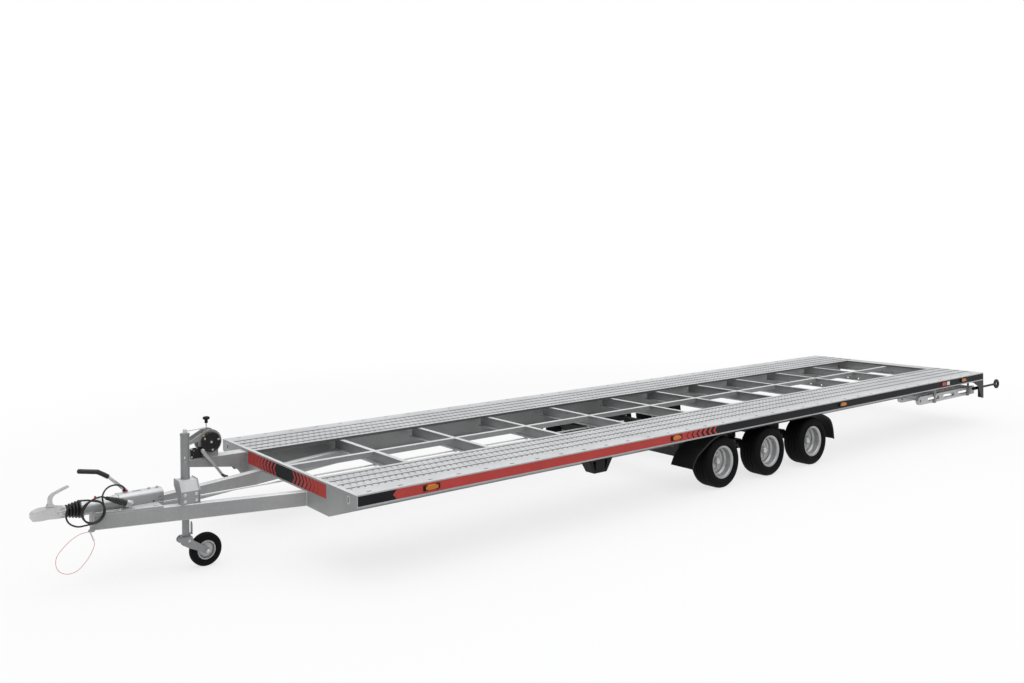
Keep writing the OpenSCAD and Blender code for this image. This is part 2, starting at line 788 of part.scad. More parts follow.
module winch_handle() {
    y0 = 72;
    color("silver") winch_place() {
        translate([gear_x, 38 + seat_gap, gear_z]) rotate([-90, 0, 0]) cylinder(d = 12, h = y0 - 38);
        translate([gear_x, 51, gear_z]) rotate([-90, 0, 0]) cylinder(d = 9, h = y0 - 38);
        translate([gear_x, 62, gear_z]) rotate([-90, 0, 0]) cylinder(d = 24, h = 20);
        along_y(y0, y0 + 6) {
            translate([gear_x, gear_z]) circle(r = 15);
            polygon([[gear_x - 12, gear_z + 9], [gear_x - 40, gear_z - 40], [crank_end[0] + 26,
                crank_end[1] + 52], [crank_end[0] - 9, crank_end[1] + 4], [crank_end[0] + 7,
                crank_end[1] - 8], [crank_end[0] + 46, crank_end[1] + 46], [gear_x - 18, gear_z - 48],
                [gear_x + 12, gear_z - 9]]);
            translate(crank_end) circle(r = 11);
        }
    }
}

module winch_grip() {
    y0 = 78 + seat_gap;
    color("black") winch_place() rod([[crank_end[0], y0, crank_end[1]],
        [crank_end[0], y0 + 70, crank_end[1]], [crank_end[0] + 6, y0 + 88, crank_end[1] + 10]], 22);
}

// Running gear

arm_t = 30;
arm_y = wheel_y - tyre_w / 2 - 15 - arm_t;
plate_gap = 5;
drum_in = 60;

// Axle: square tube, trailing arms, backplates, stubs for the hubs and frame brackets
module axle(x) {
    tube_x = x + arm_reach;
    tube_z = wheel_z + arm_rise;
    translate([tube_x - axle_w / 2, -arm_y, tube_z - axle_w / 2]) cube([axle_w, 2 * arm_y, axle_w]);
    both_sides() {
        along_y(arm_y, arm_y + arm_t) hull() {
            translate([tube_x, tube_z]) circle(d = axle_w, $fn = 32);
            translate([x, wheel_z]) circle(d = axle_w * 0.75, $fn = 32);
        }
        translate([x, arm_y, wheel_z]) rotate([-90, 0, 0]) cylinder(d = 40, h = wheel_y - arm_y - 2);
        translate([x, wheel_y - drum_in - plate_gap - 6, wheel_z]) rotate([-90, 0, 0])
            cylinder(d = rim_d * 0.69, h = 6);
        translate([tube_x - 60, main_y - main_w, tube_z + axle_w / 2])
            cube([120, main_w, main_z - tube_z - axle_w / 2]);
    }
}

module axles() {
    color("dimgray") for (i = [-1 : 1]) axle(-axle_x - i * axle_pitch);
}

// Pull rod under the beams with its guides and the yoke at the housing
module brake_rod() {
    z = cross_z - 12;
    x0 = -axle_x + arm_reach + axle_pitch;
    color("silver") {
        translate([x0, 0, z]) rotate([0, 90, 0]) cylinder(d = 12, h = housing_back + 60 - x0);
        for (x = [for (c = cross_at) if (c < -x0) c]) translate([-x - 30, -15, z - 9])
            cube([20, 30, cross_z - z + 9]);
        translate([housing_back + 20, -8, z]) cube([30, 16, cross_z - z]);
    }
}

module wheel_at(i, s) {
    translate([-axle_x - i * axle_pitch, s * wheel_y, wheel_z]) rotate([s > 0 ? -90 : 90, 0, 0])
        children();
}

bead_w = 72;
bead_r = rim_d / 2 - 17;

// Tyre turned about Z, outside face up, with three grooves round the tread
module tyre() {
    r = tyre_d / 2;
    w = tyre_w / 2;
    f = rim_d / 2;
    d = 7;
    half = [[bead_r + seat_gap, bead_w - 6.5], [bead_r + 8.3, bead_w + 1.5], [f + 2, bead_w + 1.5],
        [f + 8, w - 10], [f + 20, w - 1], [f + 34, w], [r - 30, w - 3], [r - 16, w - 10],
        [r - 6, w - 21], [r - 1.5, w - 34], [r, w - 50], [r, 34], [r - d, 33], [r - d, 27], [r, 26],
        [r, 4], [r - d, 3]];
    far = [for (i = [len(half) - 1 : -1 : 0]) [half[i][0], -half[i][1]]];
    color("black") rotate_extrude($fn = 96) polygon(concat(half, far));
}

// Deep rim with its disc, hub and brake drum, outside face up
module rim() {
    b = bead_r;
    f = rim_d / 2;
    w = bead_w;
    color("lightgray") difference() {
        union() {
            rotate_extrude($fn = 96) polygon([[b - 5, -40], [b - 18, -30], [b - 18, 10], [b - 5, 24],
                [b - 5, w - 4], [b - 1, w + 2], [b + 6, w + 6], [f - 2, w + 9], [f, w + 5],
                [f - 3, w + 2], [b + 8, w + 2], [b, w - 6], [b, 26], [b - 13, 12], [b - 13, -32],
                [b, -42], [b, -w + 6], [b + 8, -w - 2], [f - 3, -w - 2], [f, -w - 5],
                [f - 2, -w - 9], [b - 5, -w - 4]]);
            rotate_extrude($fn = 96) polygon([[32, 4], [66, 4], [76, -2], [88, 4], [98, 5], [b - 17, -2],
                [b - 17, -8], [98, -1], [88, -2], [76, -8], [66, -2], [32, -2]]);
            translate([0, 0, -drum_in]) difference() {
                cylinder(d = 200, h = drum_in - 3);
                translate([0, 0, -1]) cylinder(d = 180, h = 42);
            }
            rotate_extrude() polygon([[0, -10], [70, -10], [70, -1], [40, -1], [40, 5], [34, 7], [32, 26],
                [29, 32], [0, 32]]);
        }
        translate([0, 0, -drum_in - 1]) cylinder(d = 40.1, h = drum_in);
        for (a = [0 : 9]) rotate(a * 36) translate([93, 0, -6]) cylinder(d = 8, h = 16, $fn = 24);
    }
}

module tyre_l1() { wheel_at(-1, 1) tyre(); }
module tyre_l2() { wheel_at(0, 1) tyre(); }
module tyre_l3() { wheel_at(1, 1) tyre(); }
module tyre_r1() { wheel_at(-1, -1) tyre(); }
module tyre_r2() { wheel_at(0, -1) tyre(); }
module tyre_r3() { wheel_at(1, -1) tyre(); }
module rim_l1() { wheel_at(-1, 1) rim(); }
module rim_l2() { wheel_at(0, 1) rim(); }
module rim_l3() { wheel_at(1, 1) rim(); }
module rim_r1() { wheel_at(-1, -1) rim(); }
module rim_r2() { wheel_at(0, -1) rim(); }
module rim_r3() { wheel_at(1, -1) rim(); }

// Smooth curve through hand-chosen points
function bend(a, b, c, d, t) = 0.5 * (2 * b + (c - a) * t + (2 * a - 5 * b + 4 * c - d) * t * t
    + (3 * b - a - 3 * c + d) * t * t * t);
function smooth(p, n) = let (m = len(p)) concat([for (i = [0 : m - 2], k = [0 : n - 1])
    bend(p[max(i - 1, 0)], p[i], p[i + 1], p[min(i + 2, m - 1)], k / n)], [p[m - 1]]);

// Line moved to the left of its heading by t
function beside(p, t) = [for (i = [0 : len(p) - 1])
    let (v = p[min(i + 1, len(p) - 1)] - p[max(i - 1, 0)]) p[i] + t * [-v[1], v[0]] / norm(v)];

// Mudguard's side view as a band of width t, from the front flap over the wheels to the tail
module guard2d(t) {
    clear = tyre_d / 2 + wheel_gap + guard_t;
    front = -axle_x + axle_pitch;
    back = -axle_x - axle_pitch;
    top = wheel_z + clear;
    line = concat(smooth([[front + 455, top - 251], [front + 420, top - 190], [front + 374, top - 142],
        [front + 281, top - 88], [front + 190, top - 40], [front + 90, top - 8], [front, top]], 3),
        smooth([[back, top], [back - 90, top - 8], [back - 190, top - 42], [back - 265, top - 89],
        [back - 305, top - 170], [back - 322, top - 276]], 3));
    inner = beside(line, t);
    polygon(concat(line, [for (i = [len(inner) - 1 : -1 : 0]) inner[i]]));
}

module mudguard() {
    y0 = wheel_y - tyre_w / 2 - 12;
    y1 = wheel_y + tyre_w / 2 + 12;
    along_y(y0, y1) guard2d(guard_t);
    along_y(y1 - guard_t, y1) guard2d(18);
}

module mudguards() { color("black") both_sides() mudguard(); }

// Equipment

chock_h = 112;
chock_gap = 1388;
chock_back = -axle_x + axle_pitch + chock_gap;

// Wedge hung under the rail, with two slanting slots
module wheel_chock() {
    top = rail_z - seat_gap;
    y0 = half_w - 115;
    slant = chock_l / 4;
    along_y(y0, half_w - 25) translate([chock_back, top]) difference() {
        polygon([[0, 0], [chock_l, 0], [chock_l - slant, -chock_h], [slant + 5, -chock_h]]);
        for (x = [chock_l * 0.3, chock_l * 0.72], s = x < chock_l / 2 ? 20 : -20)
            polygon([[x - s, -20], [x + s / 2, -20], [x + s / 2, -chock_h + 22], [x, -chock_h + 22]]);
    }
}

module wheel_chocks() { color("black") both_sides() wheel_chock(); }

ramp_y = main_y + 14;
ramp_w = rod_y - rod_d / 2 - 46 - ramp_y;
ramp_drop = 255;
ramp_z = deck_h - ramp_drop;
ramp_back = -deck_l - 10;
ramp_bar = 30;

// Side bar of a ramp: three windows and a rounded hook at its front end
module ramp_bar2d() {
    r = ramp_h / 2;
    difference() {
        union() {
            square([ramp_l - r, ramp_h]);
            translate([ramp_l - r, r]) circle(r);
        }
        translate([ramp_l - r, r]) circle(d = 34);
        for (i = [0 : 2]) translate([ramp_l * (0.2 + 0.27 * i), r]) slot2d(ramp_l * 0.2, 36);
    }
}

module ramp() {
    rungs = 12;
    pitch = (ramp_l - 140) / (rungs - 1);
    for (y = [ramp_y, ramp_y + ramp_w - ramp_bar]) translate([ramp_back, 0, ramp_z])
        along_y(y, y + ramp_bar) ramp_bar2d();
    for (i = [0 : rungs - 1]) translate([ramp_back + 20 + i * pitch, ramp_y + ramp_bar,
        ramp_z + ramp_h - 40]) cube([30, ramp_w - 2 * ramp_bar, 36]);
}

module ramp_left() { color("darkgray") ramp(); }
module ramp_right() { color("darkgray") mirror([0, 1, 0]) ramp(); }

// Frames under the last outriggers that hold the stowed ramps
module ramp_carriers() {
    gap = 5;
    t = 6;
    low = ramp_z - seat_gap;
    top = frame_top - outrigger_h;
    n = len(cross_at);
    color("gray") both_sides() for (x = [cross_at[n - 2], cross_at[n - 1]]) along_x(-x - cross_w, -x)
        difference() {
            translate([ramp_y - gap - t, low - t]) square([ramp_w + 2 * (gap + t), top - low + t]);
            translate([ramp_y - gap, low]) square([ramp_w + 2 * gap, top - low - t]);
        }
}

eye_r = 41;

// Rod held in the rear panel's socket, with a cone outside the panel and an eye
module eye_rod() {
    eye_x = -deck_l - rod_reach + eye_r + 14;
    cone_l = 100;
    color("black") {
        translate([eye_x + eye_r, rod_y, rod_z]) rotate([0, 90, 0])
            cylinder(d = rod_d, h = -deck_l + socket_l - eye_x - eye_r);
        translate([-deck_l - seat_gap - cone_l, rod_y, rod_z]) rotate([0, 90, 0])
            cylinder(d1 = rod_d, d2 = rod_d + 18, h = cone_l);
        translate([eye_x, rod_y, rod_z]) rotate([90, 0, 0]) rotate_extrude() translate([eye_r, 0])
            circle(r = 14);
    }
}

lamp_h = 34;
first_lamp = 580;
lamp_pitch = (deck_l - first_lamp - 495) / 3;

module side_lamps() {
    z = deck_h - 55;
    color("orange") both_sides() for (i = [0 : 3]) {
        x = -first_lamp - i * lamp_pitch;
        along_x(x - 50, x + 50) translate([half_w, z]) polygon([[0, 0], [9, 2], [12, 6], [12, lamp_h - 6],
            [9, lamp_h - 2], [0, lamp_h]]);
    }
}

// Lamp bodies on the rear panel
module rear_lamps() {
    low = deck_h - rear_low + 12;
    inner = half_w - 490;
    color("red") both_sides() along_y(inner, inner + 300) translate([-deck_l, low])
        polygon([[0, 0], [-30, 0], [-40, 10], [-40, 90], [-30, 100], [0, 100]]);
}

// Swept tube: a round ring of n sides at each point, square to the route
function unit(v) = v / norm(v);
function heading(p, i) = unit(p[min(i + 1, len(p) - 1)] - p[max(i - 1, 0)]);
function side_of(t) = unit(cross(t, abs(t[1]) > 0.9 ? [0, 0, 1] : [0, 1, 0]));
// Carries the side direction along the route without twist
function carried(p, i) = i == 0 ? side_of(heading(p, 0)) :
    let (t = heading(p, i), s = carried(p, i - 1)) unit(s - t * (s * t));
function ring(p, i, r, n) = let (t = heading(p, i), u = carried(p, i), v = cross(t, u))
    [for (k = [0 : n - 1]) p[i] + r * (cos(k * 360 / n) * u + sin(k * 360 / n) * v)];
module tube(p, r, n) {
    m = len(p);
    pts = [for (i = [0 : m - 1]) each ring(p, i, r, n)];
    walls = [for (i = [0 : m - 2], k = [0 : n - 1]) let (a = i * n + k, b = i * n + (k + 1) % n)
        each [[a, a + n, b + n], [a, b + n, b]]];
    caps = [[for (k = [0 : n - 1]) k], [for (k = [n - 1 : -1 : 0]) (m - 1) * n + k]];
    polyhedron(points = pts, faces = concat(walls, caps));
}

// Cords, in front of the drawbar's apex and above the coupling shaft's axis
lead_d = 11;
coil_r = 70;
coil_at = [15, -8];
// Turns of the coil from angle a to b, moving outwards as they wind
function turns(a, b) = [for (t = [a : 45 : b]) [coil_at[0] + coil_r * cos(t),
    80 + 12.5 * (t - 180) / 360, coil_at[1] + coil_r * sin(t)]];
arch = [[-208, 0, 66.2], [-208, 0, 84], [-184, 4, 106], [-136, 10, 118], [-87, 24, 106], [-54, 50, 66]];
loop = [[65, 95, -84], [115, 90, -83], [160, 78, -55], [175, 72, -5], [155, 76, 45], [105, 88, 71],
    [55, 98, 73]];
lead_route = concat(arch, turns(180, 630), loop, turns(810, 1125),
    [[22, 108, 73], [-33, 94, 79], [-62, 92, 67]]);

module at_apex() { translate([apex_x, 0, hitch_z]) children(); }

module lead() {
    color("black") at_apex() tube(smooth(lead_route, 3), lead_d / 2, 8);
}

breakaway_d = 3;
hook_top = [apex_x + lug_hole[0] - 1, lug_y, bar_z + lug_hole[1]];
hook_foot = hook_top + [-25, 0, -70];
breakaway_route = [[1, 54, -208], [0, 54, -223], [4, 54, -243], [24, 54, -283], [58, 54, -330],
    [107, 54, -370], [162, 54, -378], [210, 54, -355], [233, 54, -309], [222, 54, -248],
    [150, 54, -177], [90, 54, -146], [36.6, 54, -139]];

module breakaway_cable() {
    color("firebrick") at_apex() tube(smooth(breakaway_route, 3), breakaway_d / 2, 8);
}

// Long ring that hooks into the lug's hole
module carabiner() {
    wire = 5;
    w = 22;
    axis = hook_foot - hook_top;
    l = norm(axis);
    color("silver") translate(hook_top) rotate([0, acos(axis[2] / l), 180])
        rotate([90, 0, 90]) linear_extrude(wire, center = true) translate([0, l / 2]) rotate(90)
        difference() {
            slot2d(l + wire, w + wire);
            slot2d(l - wire, w - wire);
        }
}

place() side_rails();
place() front_panel();
place() rear_panel();
place() end_sill();
place() main_beams();
place() centre_beam();
place() crossbeams();
place() outriggers();
place() track_left();
place() track_right();
place() drawbar_left();
place() drawbar_right();
place() overrun_housing();
place() gaiter();
place() coupling_head();
place() coupling_handle();
place() handbrake_lever();
place() handbrake_grip();
place() plug_holder();
place() jockey_clamp();
place() jockey_post();
place() jockey_crank();
place() jockey_knob();
place() jockey_stem();
place() jockey_fork();
place() jockey_rim();
place() jockey_tyre();
place() winch_arm();
place() winch_frame();
place() winch_gearbox();
place() winch_drum();
place() winch_handle();
place() winch_grip();
place() axles();
place() brake_rod();
place() tyre_l1();
place() tyre_l2();
place() tyre_l3();
place() tyre_r1();
place() tyre_r2();
place() tyre_r3();
place() rim_l1();
place() rim_l2();
place() rim_l3();
place() rim_r1();
place() rim_r2();
place() rim_r3();
place() mudguards();
place() wheel_chocks();
place() ramp_left();
place() ramp_right();
place() ramp_carriers();
place() eye_rod();
place() side_lamps();
place() rear_lamps();
place() lead();
place() plug();
place() breakaway_cable();
place() carabiner();
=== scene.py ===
import json
import math

import bmesh
import bpy
from mathutils import Matrix, Vector


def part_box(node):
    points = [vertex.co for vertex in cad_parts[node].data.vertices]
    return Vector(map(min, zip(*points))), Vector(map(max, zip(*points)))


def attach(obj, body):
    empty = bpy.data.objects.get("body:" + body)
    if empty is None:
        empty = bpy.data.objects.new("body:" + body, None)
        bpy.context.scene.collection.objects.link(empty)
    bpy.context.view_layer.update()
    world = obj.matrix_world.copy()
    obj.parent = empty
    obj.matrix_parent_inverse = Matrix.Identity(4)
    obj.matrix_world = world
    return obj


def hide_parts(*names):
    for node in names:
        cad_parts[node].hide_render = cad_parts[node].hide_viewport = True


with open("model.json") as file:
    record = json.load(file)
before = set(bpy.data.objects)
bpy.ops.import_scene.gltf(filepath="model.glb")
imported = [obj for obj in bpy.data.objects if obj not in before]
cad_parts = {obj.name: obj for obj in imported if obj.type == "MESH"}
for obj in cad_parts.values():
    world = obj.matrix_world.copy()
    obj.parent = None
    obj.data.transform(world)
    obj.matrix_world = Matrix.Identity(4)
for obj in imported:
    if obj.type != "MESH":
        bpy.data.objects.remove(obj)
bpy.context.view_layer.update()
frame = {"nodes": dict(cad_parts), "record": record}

nodes = frame["nodes"]

# Camera of the reference view, in the row frame: metres and degrees
CAMERA_AT = (6.588, 5.956, 2.153)
CAMERA_YAW = -125.13
CAMERA_ROLL = -0.614
CAMERA_LENS = 32.006
CAMERA_SENSOR = 36.0
CAMERA_SHIFT = (0.0893, -0.0963)

# Where the deck lies, from the frame
deck_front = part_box("front_panel")[1][0]
deck_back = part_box("rear_panel")[0][0]
deck_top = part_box("front_panel")[1][2]
half_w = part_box("side_rails")[1][1]
rail_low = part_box("side_rails")[0][2]


def make_camera():
    yaw = math.radians(CAMERA_YAW)
    roll = math.radians(CAMERA_ROLL)
    forward = Vector((math.cos(yaw), math.sin(yaw), 0))
    right = Vector((math.sin(yaw), -math.cos(yaw), 0))
    up = Vector((0, 0, 1))
    axis_x = right * math.cos(roll) + up * math.sin(roll)
    axis_y = up * math.cos(roll) - right * math.sin(roll)
    turn = Matrix((axis_x, axis_y, -forward)).transposed().to_4x4()
    data = bpy.data.cameras.new("camera")
    data.lens = CAMERA_LENS
    data.sensor_width = CAMERA_SENSOR
    data.shift_x, data.shift_y = CAMERA_SHIFT
    data.clip_end = 200
    camera = bpy.data.objects.new("camera", data)
    camera.matrix_world = Matrix.Translation(CAMERA_AT) @ turn
    bpy.context.scene.collection.objects.link(camera)
    bpy.context.scene.camera = camera


# Materials


class Nodes:
    """Short calls to build one material's node tree."""

    def __init__(self, name):
        self.mat = bpy.data.materials.new(name)
        self.mat.use_nodes = True
        self.tree = self.mat.node_tree
        self.shader = self.tree.nodes["Principled BSDF"]
        self.place = self.add("ShaderNodeTexCoord").outputs["Object"]

    def add(self, kind, links=(), **values):
        made = self.tree.nodes.new(kind)
        for key, value in values.items():
            if key in made.inputs:
                made.inputs[key].default_value = value
            else:
                setattr(made, key, value)
        for key, socket in dict(links).items():
            self.tree.links.new(socket, made.inputs[key])
        return made

    def noise(self, scale, detail=3.0, stretch=(1, 1, 1)):
        mapped = self.add("ShaderNodeMapping", {"Vector": self.place}, Scale=stretch)
        made = self.add(
            "ShaderNodeTexNoise", {"Vector": mapped.outputs[0]}, Scale=scale, Detail=detail
        )
        return made.outputs["Fac"]

    def cells(self, scale):
        made = self.add("ShaderNodeTexVoronoi", {"Vector": self.place}, Scale=scale)
        return made.outputs["Color"]

    def ramp(self, fac, stops):
        made = self.add("ShaderNodeValToRGB", {"Fac": fac})
        parts = made.color_ramp.elements
        while len(parts) < len(stops):
            parts.new(0.5)
        for part, (at, colour) in zip(parts, stops):
            part.position = at
            part.color = (*colour, 1)
        return made.outputs["Color"]

    def blend(self, fac, one, two, kind="MIX"):
        made = self.tree.nodes.new("ShaderNodeMix")
        made.data_type = "RGBA"
        made.blend_type = kind
        for socket, value in ((made.inputs[0], fac), (made.inputs[6], one), (made.inputs[7], two)):
            if isinstance(value, bpy.types.NodeSocket):
                self.tree.links.new(value, socket)
            elif isinstance(value, (int, float)):
                socket.default_value = value
            else:
                socket.default_value = (*value, 1)
        return made.outputs[2]

    def span(self, fac, low, high):
        made = self.add("ShaderNodeMapRange", {"Value": fac})
        made.inputs["To Min"].default_value = low
        made.inputs["To Max"].default_value = high
        return made.outputs[0]

    def shade_on_upright_faces(self, dark):
        """Painted shade: white on level faces, that dark tone on upright ones."""
        normal = self.tree.nodes["Texture Coordinate"].outputs["Normal"]
        split = self.add("ShaderNodeSeparateXYZ", {"Vector": normal})
        level = self.add("ShaderNodeMath", operation="ABSOLUTE")
        self.tree.links.new(split.outputs["Z"], level.inputs[0])
        return self.ramp(level.outputs[0], [(0.3, (dark,) * 3), (0.7, (1, 1, 1))])

    def set(self, **values):
        for key, value in values.items():
            self.shader.inputs[key.replace("_", " ")].default_value = value

    def link(self, key, socket):
        self.tree.links.new(socket, self.shader.inputs[key])

    def bump(self, height, strength, distance):
        made = self.add(
            "ShaderNodeBump", {"Height": height}, Strength=strength, Distance=distance
        )
        self.link("Normal", made.outputs[0])


def shade(colour, factor):
    return tuple(min(1.0, c * factor) for c in colour)


def zinc_coat(name, colour, roughness=0.5, metallic=0.35, spangle=70.0, upright_shade=1.0):
    """Galvanised steel: small crystals, soft clouds, a dull sheen, and painted shade of that tone on upright
    faces.
    """
    n = Nodes(name)
    cells = n.cells(spangle)
    clouds = n.noise(3.0, 5.0)
    base = n.ramp(clouds, [(0.3, shade(colour, 0.9)), (0.7, shade(colour, 1.08))])
    grey = n.add("ShaderNodeRGBToBW", {"Color": cells}).outputs[0]
    tint = n.ramp(grey, [(0.1, (0.9, 0.9, 0.91)), (0.9, (1.0, 1.0, 1.0))])
    mixed = n.blend(1.0, base, tint, "MULTIPLY")
    # Painted shade: upright faces are darkened to the given tone.
    if upright_shade < 1:
        mixed = n.blend(1.0, mixed, n.shade_on_upright_faces(upright_shade), "MULTIPLY")
    n.link("Base Color", mixed)
    n.link("Roughness", n.span(grey, roughness - 0.06, roughness + 0.08))
    n.bump(n.noise(180.0, 2.0), 0.12, 0.001)
    n.set(Metallic=metallic)
    return n.mat


def worn_coat(name, colour, roughness, metallic=0.0, grain=90.0, strength=0.15, spread=0.12, gloss=0.5):
    """Paint, plastic or rubber: a fine grain and a slow change of tone."""
    n = Nodes(name)
    slow = n.noise(4.0, 4.0)
    fine = n.noise(grain, 4.0)
    base = n.ramp(slow, [(0.3, shade(colour, 1 - spread)), (0.7, shade(colour, 1 + spread))])
    tint = n.ramp(fine, [(0.3, (0.92, 0.92, 0.92)), (0.7, (1.0, 1.0, 1.0))])
    n.link("Base Color", n.blend(1.0, base, tint, "MULTIPLY"))
    n.link("Roughness", n.span(fine, roughness - 0.06, roughness + 0.06))
    n.bump(fine, strength, 0.001)
    n.set(Metallic=metallic, Specular_IOR_Level=gloss)
    return n.mat


def lens_coat(name, colour):
    """Coloured lamp glass with moulded ribs inside."""
    n = Nodes(name)
    wave = n.add("ShaderNodeTexWave", {"Vector": n.place}, Scale=60.0, Distortion=0.4)
    base = n.ramp(wave.outputs["Fac"], [(0.2, shade(colour, 0.75)), (0.8, shade(colour, 1.15))])
    n.link("Base Color", base)
    n.bump(wave.outputs["Fac"], 0.25, 0.002)
    n.set(Roughness=0.3, Coat_Weight=0.15, Coat_Roughness=0.1, Specular_IOR_Level=0.25)
    return n.mat


# Painted shade: galvanised, track_steel, rail_paint, zinc and jockey_steel darken their upright faces; the deep
# tone of track_steel paints shade into its holes and grooves.
LOOKS = {
    "galvanised": lambda s: zinc_coat(s, (0.62, 0.623, 0.627), upright_shade=0.53),
    "track_steel": lambda s: zinc_coat(s, (0.56, 0.563, 0.567), 0.42, 0.3, 90.0, 0.16),
    "rail_paint": lambda s: zinc_coat(s, (0.58, 0.583, 0.587), upright_shade=0.7),
    "zinc": lambda s: zinc_coat(s, (0.66, 0.66, 0.656), 0.35, 0.65, 160.0, 0.92),
    "jockey_steel": lambda s: zinc_coat(s, (0.34, 0.343, 0.346), 0.42, 0.5, upright_shade=0.8),
    "black_rubber": lambda s: worn_coat(s, (0.009, 0.009, 0.0095), 0.5, 0.0, 120.0, 0.25),
    "tyre": lambda s: worn_coat(s, (0.004, 0.004, 0.0043), 0.72, 0.0, 140.0, 0.4, gloss=0.12),
    "rim": lambda s: zinc_coat(s, (0.47, 0.472, 0.475), 0.38, 0.5, 240.0),
    "black_steel": lambda s: worn_coat(s, (0.010, 0.010, 0.0105), 0.45, 0.0, 60.0, 0.1, gloss=0.35),
    "black_plastic": lambda s: worn_coat(s, (0.007, 0.007, 0.0075), 0.6, 0.0, 220.0, 0.3, gloss=0.22),
    "ramp_aluminium": lambda s: zinc_coat(s, (0.55, 0.552, 0.555), 0.45, 0.5, 200.0),
    "amber": lambda s: lens_coat(s, (0.50, 0.15, 0.008)),
    "lamp_red": lambda s: lens_coat(s, (0.45, 0.012, 0.01)),
    "red_wire": lambda s: worn_coat(s, (0.60, 0.030, 0.022), 0.5, 0.0, 300.0, 0.1, gloss=0.15),
    "foil_red": lambda s: worn_coat(s, (0.42, 0.052, 0.046), 0.55, 0.0, 40.0, 0.04, 0.06, gloss=0.15),
    "plate_white": lambda s: worn_coat(s, (0.72, 0.72, 0.70), 0.4, 0.0, 60.0, 0.03, 0.03),
    "brass": lambda s: zinc_coat(s, (0.62, 0.42, 0.12), 0.35, 0.8, 160.0),
    "foil_black": lambda s: worn_coat(s, (0.010, 0.010, 0.012), 0.55, 0.0, 40.0, 0.04, gloss=0.15),
}
made_looks = {}


def look(name):
    if name not in made_looks:
        made_looks[name] = LOOKS[name](name)
    return made_looks[name]


def dress_nodes():
    """Gives every CAD node the look of its slot in the record."""
    for part in frame["record"]["subparts"]:
        mesh = nodes[part["node"]].data
        mesh.materials.clear()
        mesh.materials.append(look(part["material_slot"]))


# Pieces


def piece(name, mesh, slot, body="chassis", smooth=False):
    made = bpy.data.objects.new(name, mesh)
    bpy.context.scene.collection.objects.link(made)
    mesh.materials.clear()
    mesh.materials.append(look(slot))
    if smooth:
        for face in mesh.polygons:
            face.use_smooth = True
    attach(made, body)
    return made


def mesh_of(name, bm):
    mesh = bpy.data.meshes.new(name)
    bmesh.ops.recalc_face_normals(bm, faces=bm.faces)
    bm.to_mesh(mesh)
    bm.free()
    return mesh


def add_ring_tube(bm, rings, closed=True):
    """Joins rings of points with quads, and caps both ends where closed is set."""
    laid = [[bm.verts.new(p) for p in ring] for ring in rings]
    count = len(laid[0])
    for one, two in zip(laid, laid[1:]):
        for k in range(count):
            m = (k + 1) % count
            bm.faces.new((one[k], one[m], two[m], two[k]))
    if closed:
        bm.faces.new(laid[0][::-1])
        bm.faces.new(laid[-1])


def add_turned(bm, profile, place, sides):
    """Turns (radius, height) points about the local Z axis of the matrix place."""
    rings = []
    for radius, height in profile:
        turn = [2 * math.pi * k / sides for k in range(sides)]
        rings.append([place @ Vector((radius * math.cos(a), radius * math.sin(a), height)) for a in turn])
    add_ring_tube(bm, rings)


def facing(point, direction, spin=0.0):
    """Matrix that stands local Z along direction at point."""
    turn = Vector(direction).to_track_quat("Z", "Y").to_matrix().to_4x4()
    return Matrix.Translation(point) @ turn @ Matrix.Rotation(spin, 4, "Z")


HEX_HEAD = [(1.0, 0.0), (1.0, 0.55), (0.88, 0.66), (0.0001, 0.66)]
WASHER = [(1.25, 0.0), (1.25, 0.14), (0.9, 0.16), (0.0001, 0.16)]


def add_bolt(bm, point, direction, size, spin=0.0):
    """Hexagon head of that half width on a washer."""
    place = facing(point, direction, spin)
    add_turned(bm, [(r * size, h * size) for r, h in WASHER], place, 16)
    up = place @ Matrix.Translation((0, 0, 0.15 * size))
    add_turned(bm, [(r * size, h * size) for r, h in HEX_HEAD], up, 6)


def at_deck(x, y, z):
    """Row point of a place measured from the deck's front edge, z from the ground."""
    return Vector((deck_front + x, y, z))


# Cords


# Routes in metres ahead of the deck's front edge, left of the centre and above the ground
COIL_AT = (1.345, 0.487)
COIL_R = 0.070


def coil_turns(start, stop):
    """Points of the lead's coil between two angles, moving outwards as it winds."""
    turns = []
    for angle in range(start, stop + 1, 45):
        a = math.radians(angle)
        y = 0.080 + 0.0125 * (angle - 180) / 360
        turns.append((COIL_AT[0] + COIL_R * math.cos(a), y, COIL_AT[1] + COIL_R * math.sin(a)))
    return turns


LEAD_ROUTE = [
    (1.122, 0.0, 0.5612), (1.122, 0.0, 0.579), (1.146, 0.004, 0.601), (1.194, 0.010, 0.613),
    (1.243, 0.024, 0.601), (1.276, 0.050, 0.561),
    *coil_turns(180, 630),
    (1.395, 0.095, 0.411), (1.445, 0.090, 0.412), (1.490, 0.078, 0.440), (1.505, 0.072, 0.490),
    (1.485, 0.076, 0.540), (1.435, 0.088, 0.566), (1.385, 0.098, 0.568),
    *coil_turns(810, 1125),
    (1.352, 0.108, 0.568), (1.297, 0.094, 0.574), (1.268, 0.092, 0.562),
]
LEAD_D = 0.011
BREAKAWAY_ROUTE = [
    (1.331, 0.054, 0.287), (1.330, 0.054, 0.272), (1.334, 0.054, 0.252), (1.354, 0.054, 0.212),
    (1.388, 0.054, 0.165), (1.437, 0.054, 0.125), (1.492, 0.054, 0.117), (1.540, 0.054, 0.140),
    (1.563, 0.054, 0.186), (1.552, 0.054, 0.247), (1.480, 0.054, 0.318), (1.420, 0.054, 0.349),
    (1.3666, 0.054, 0.356),
]
BREAKAWAY_D = 0.003


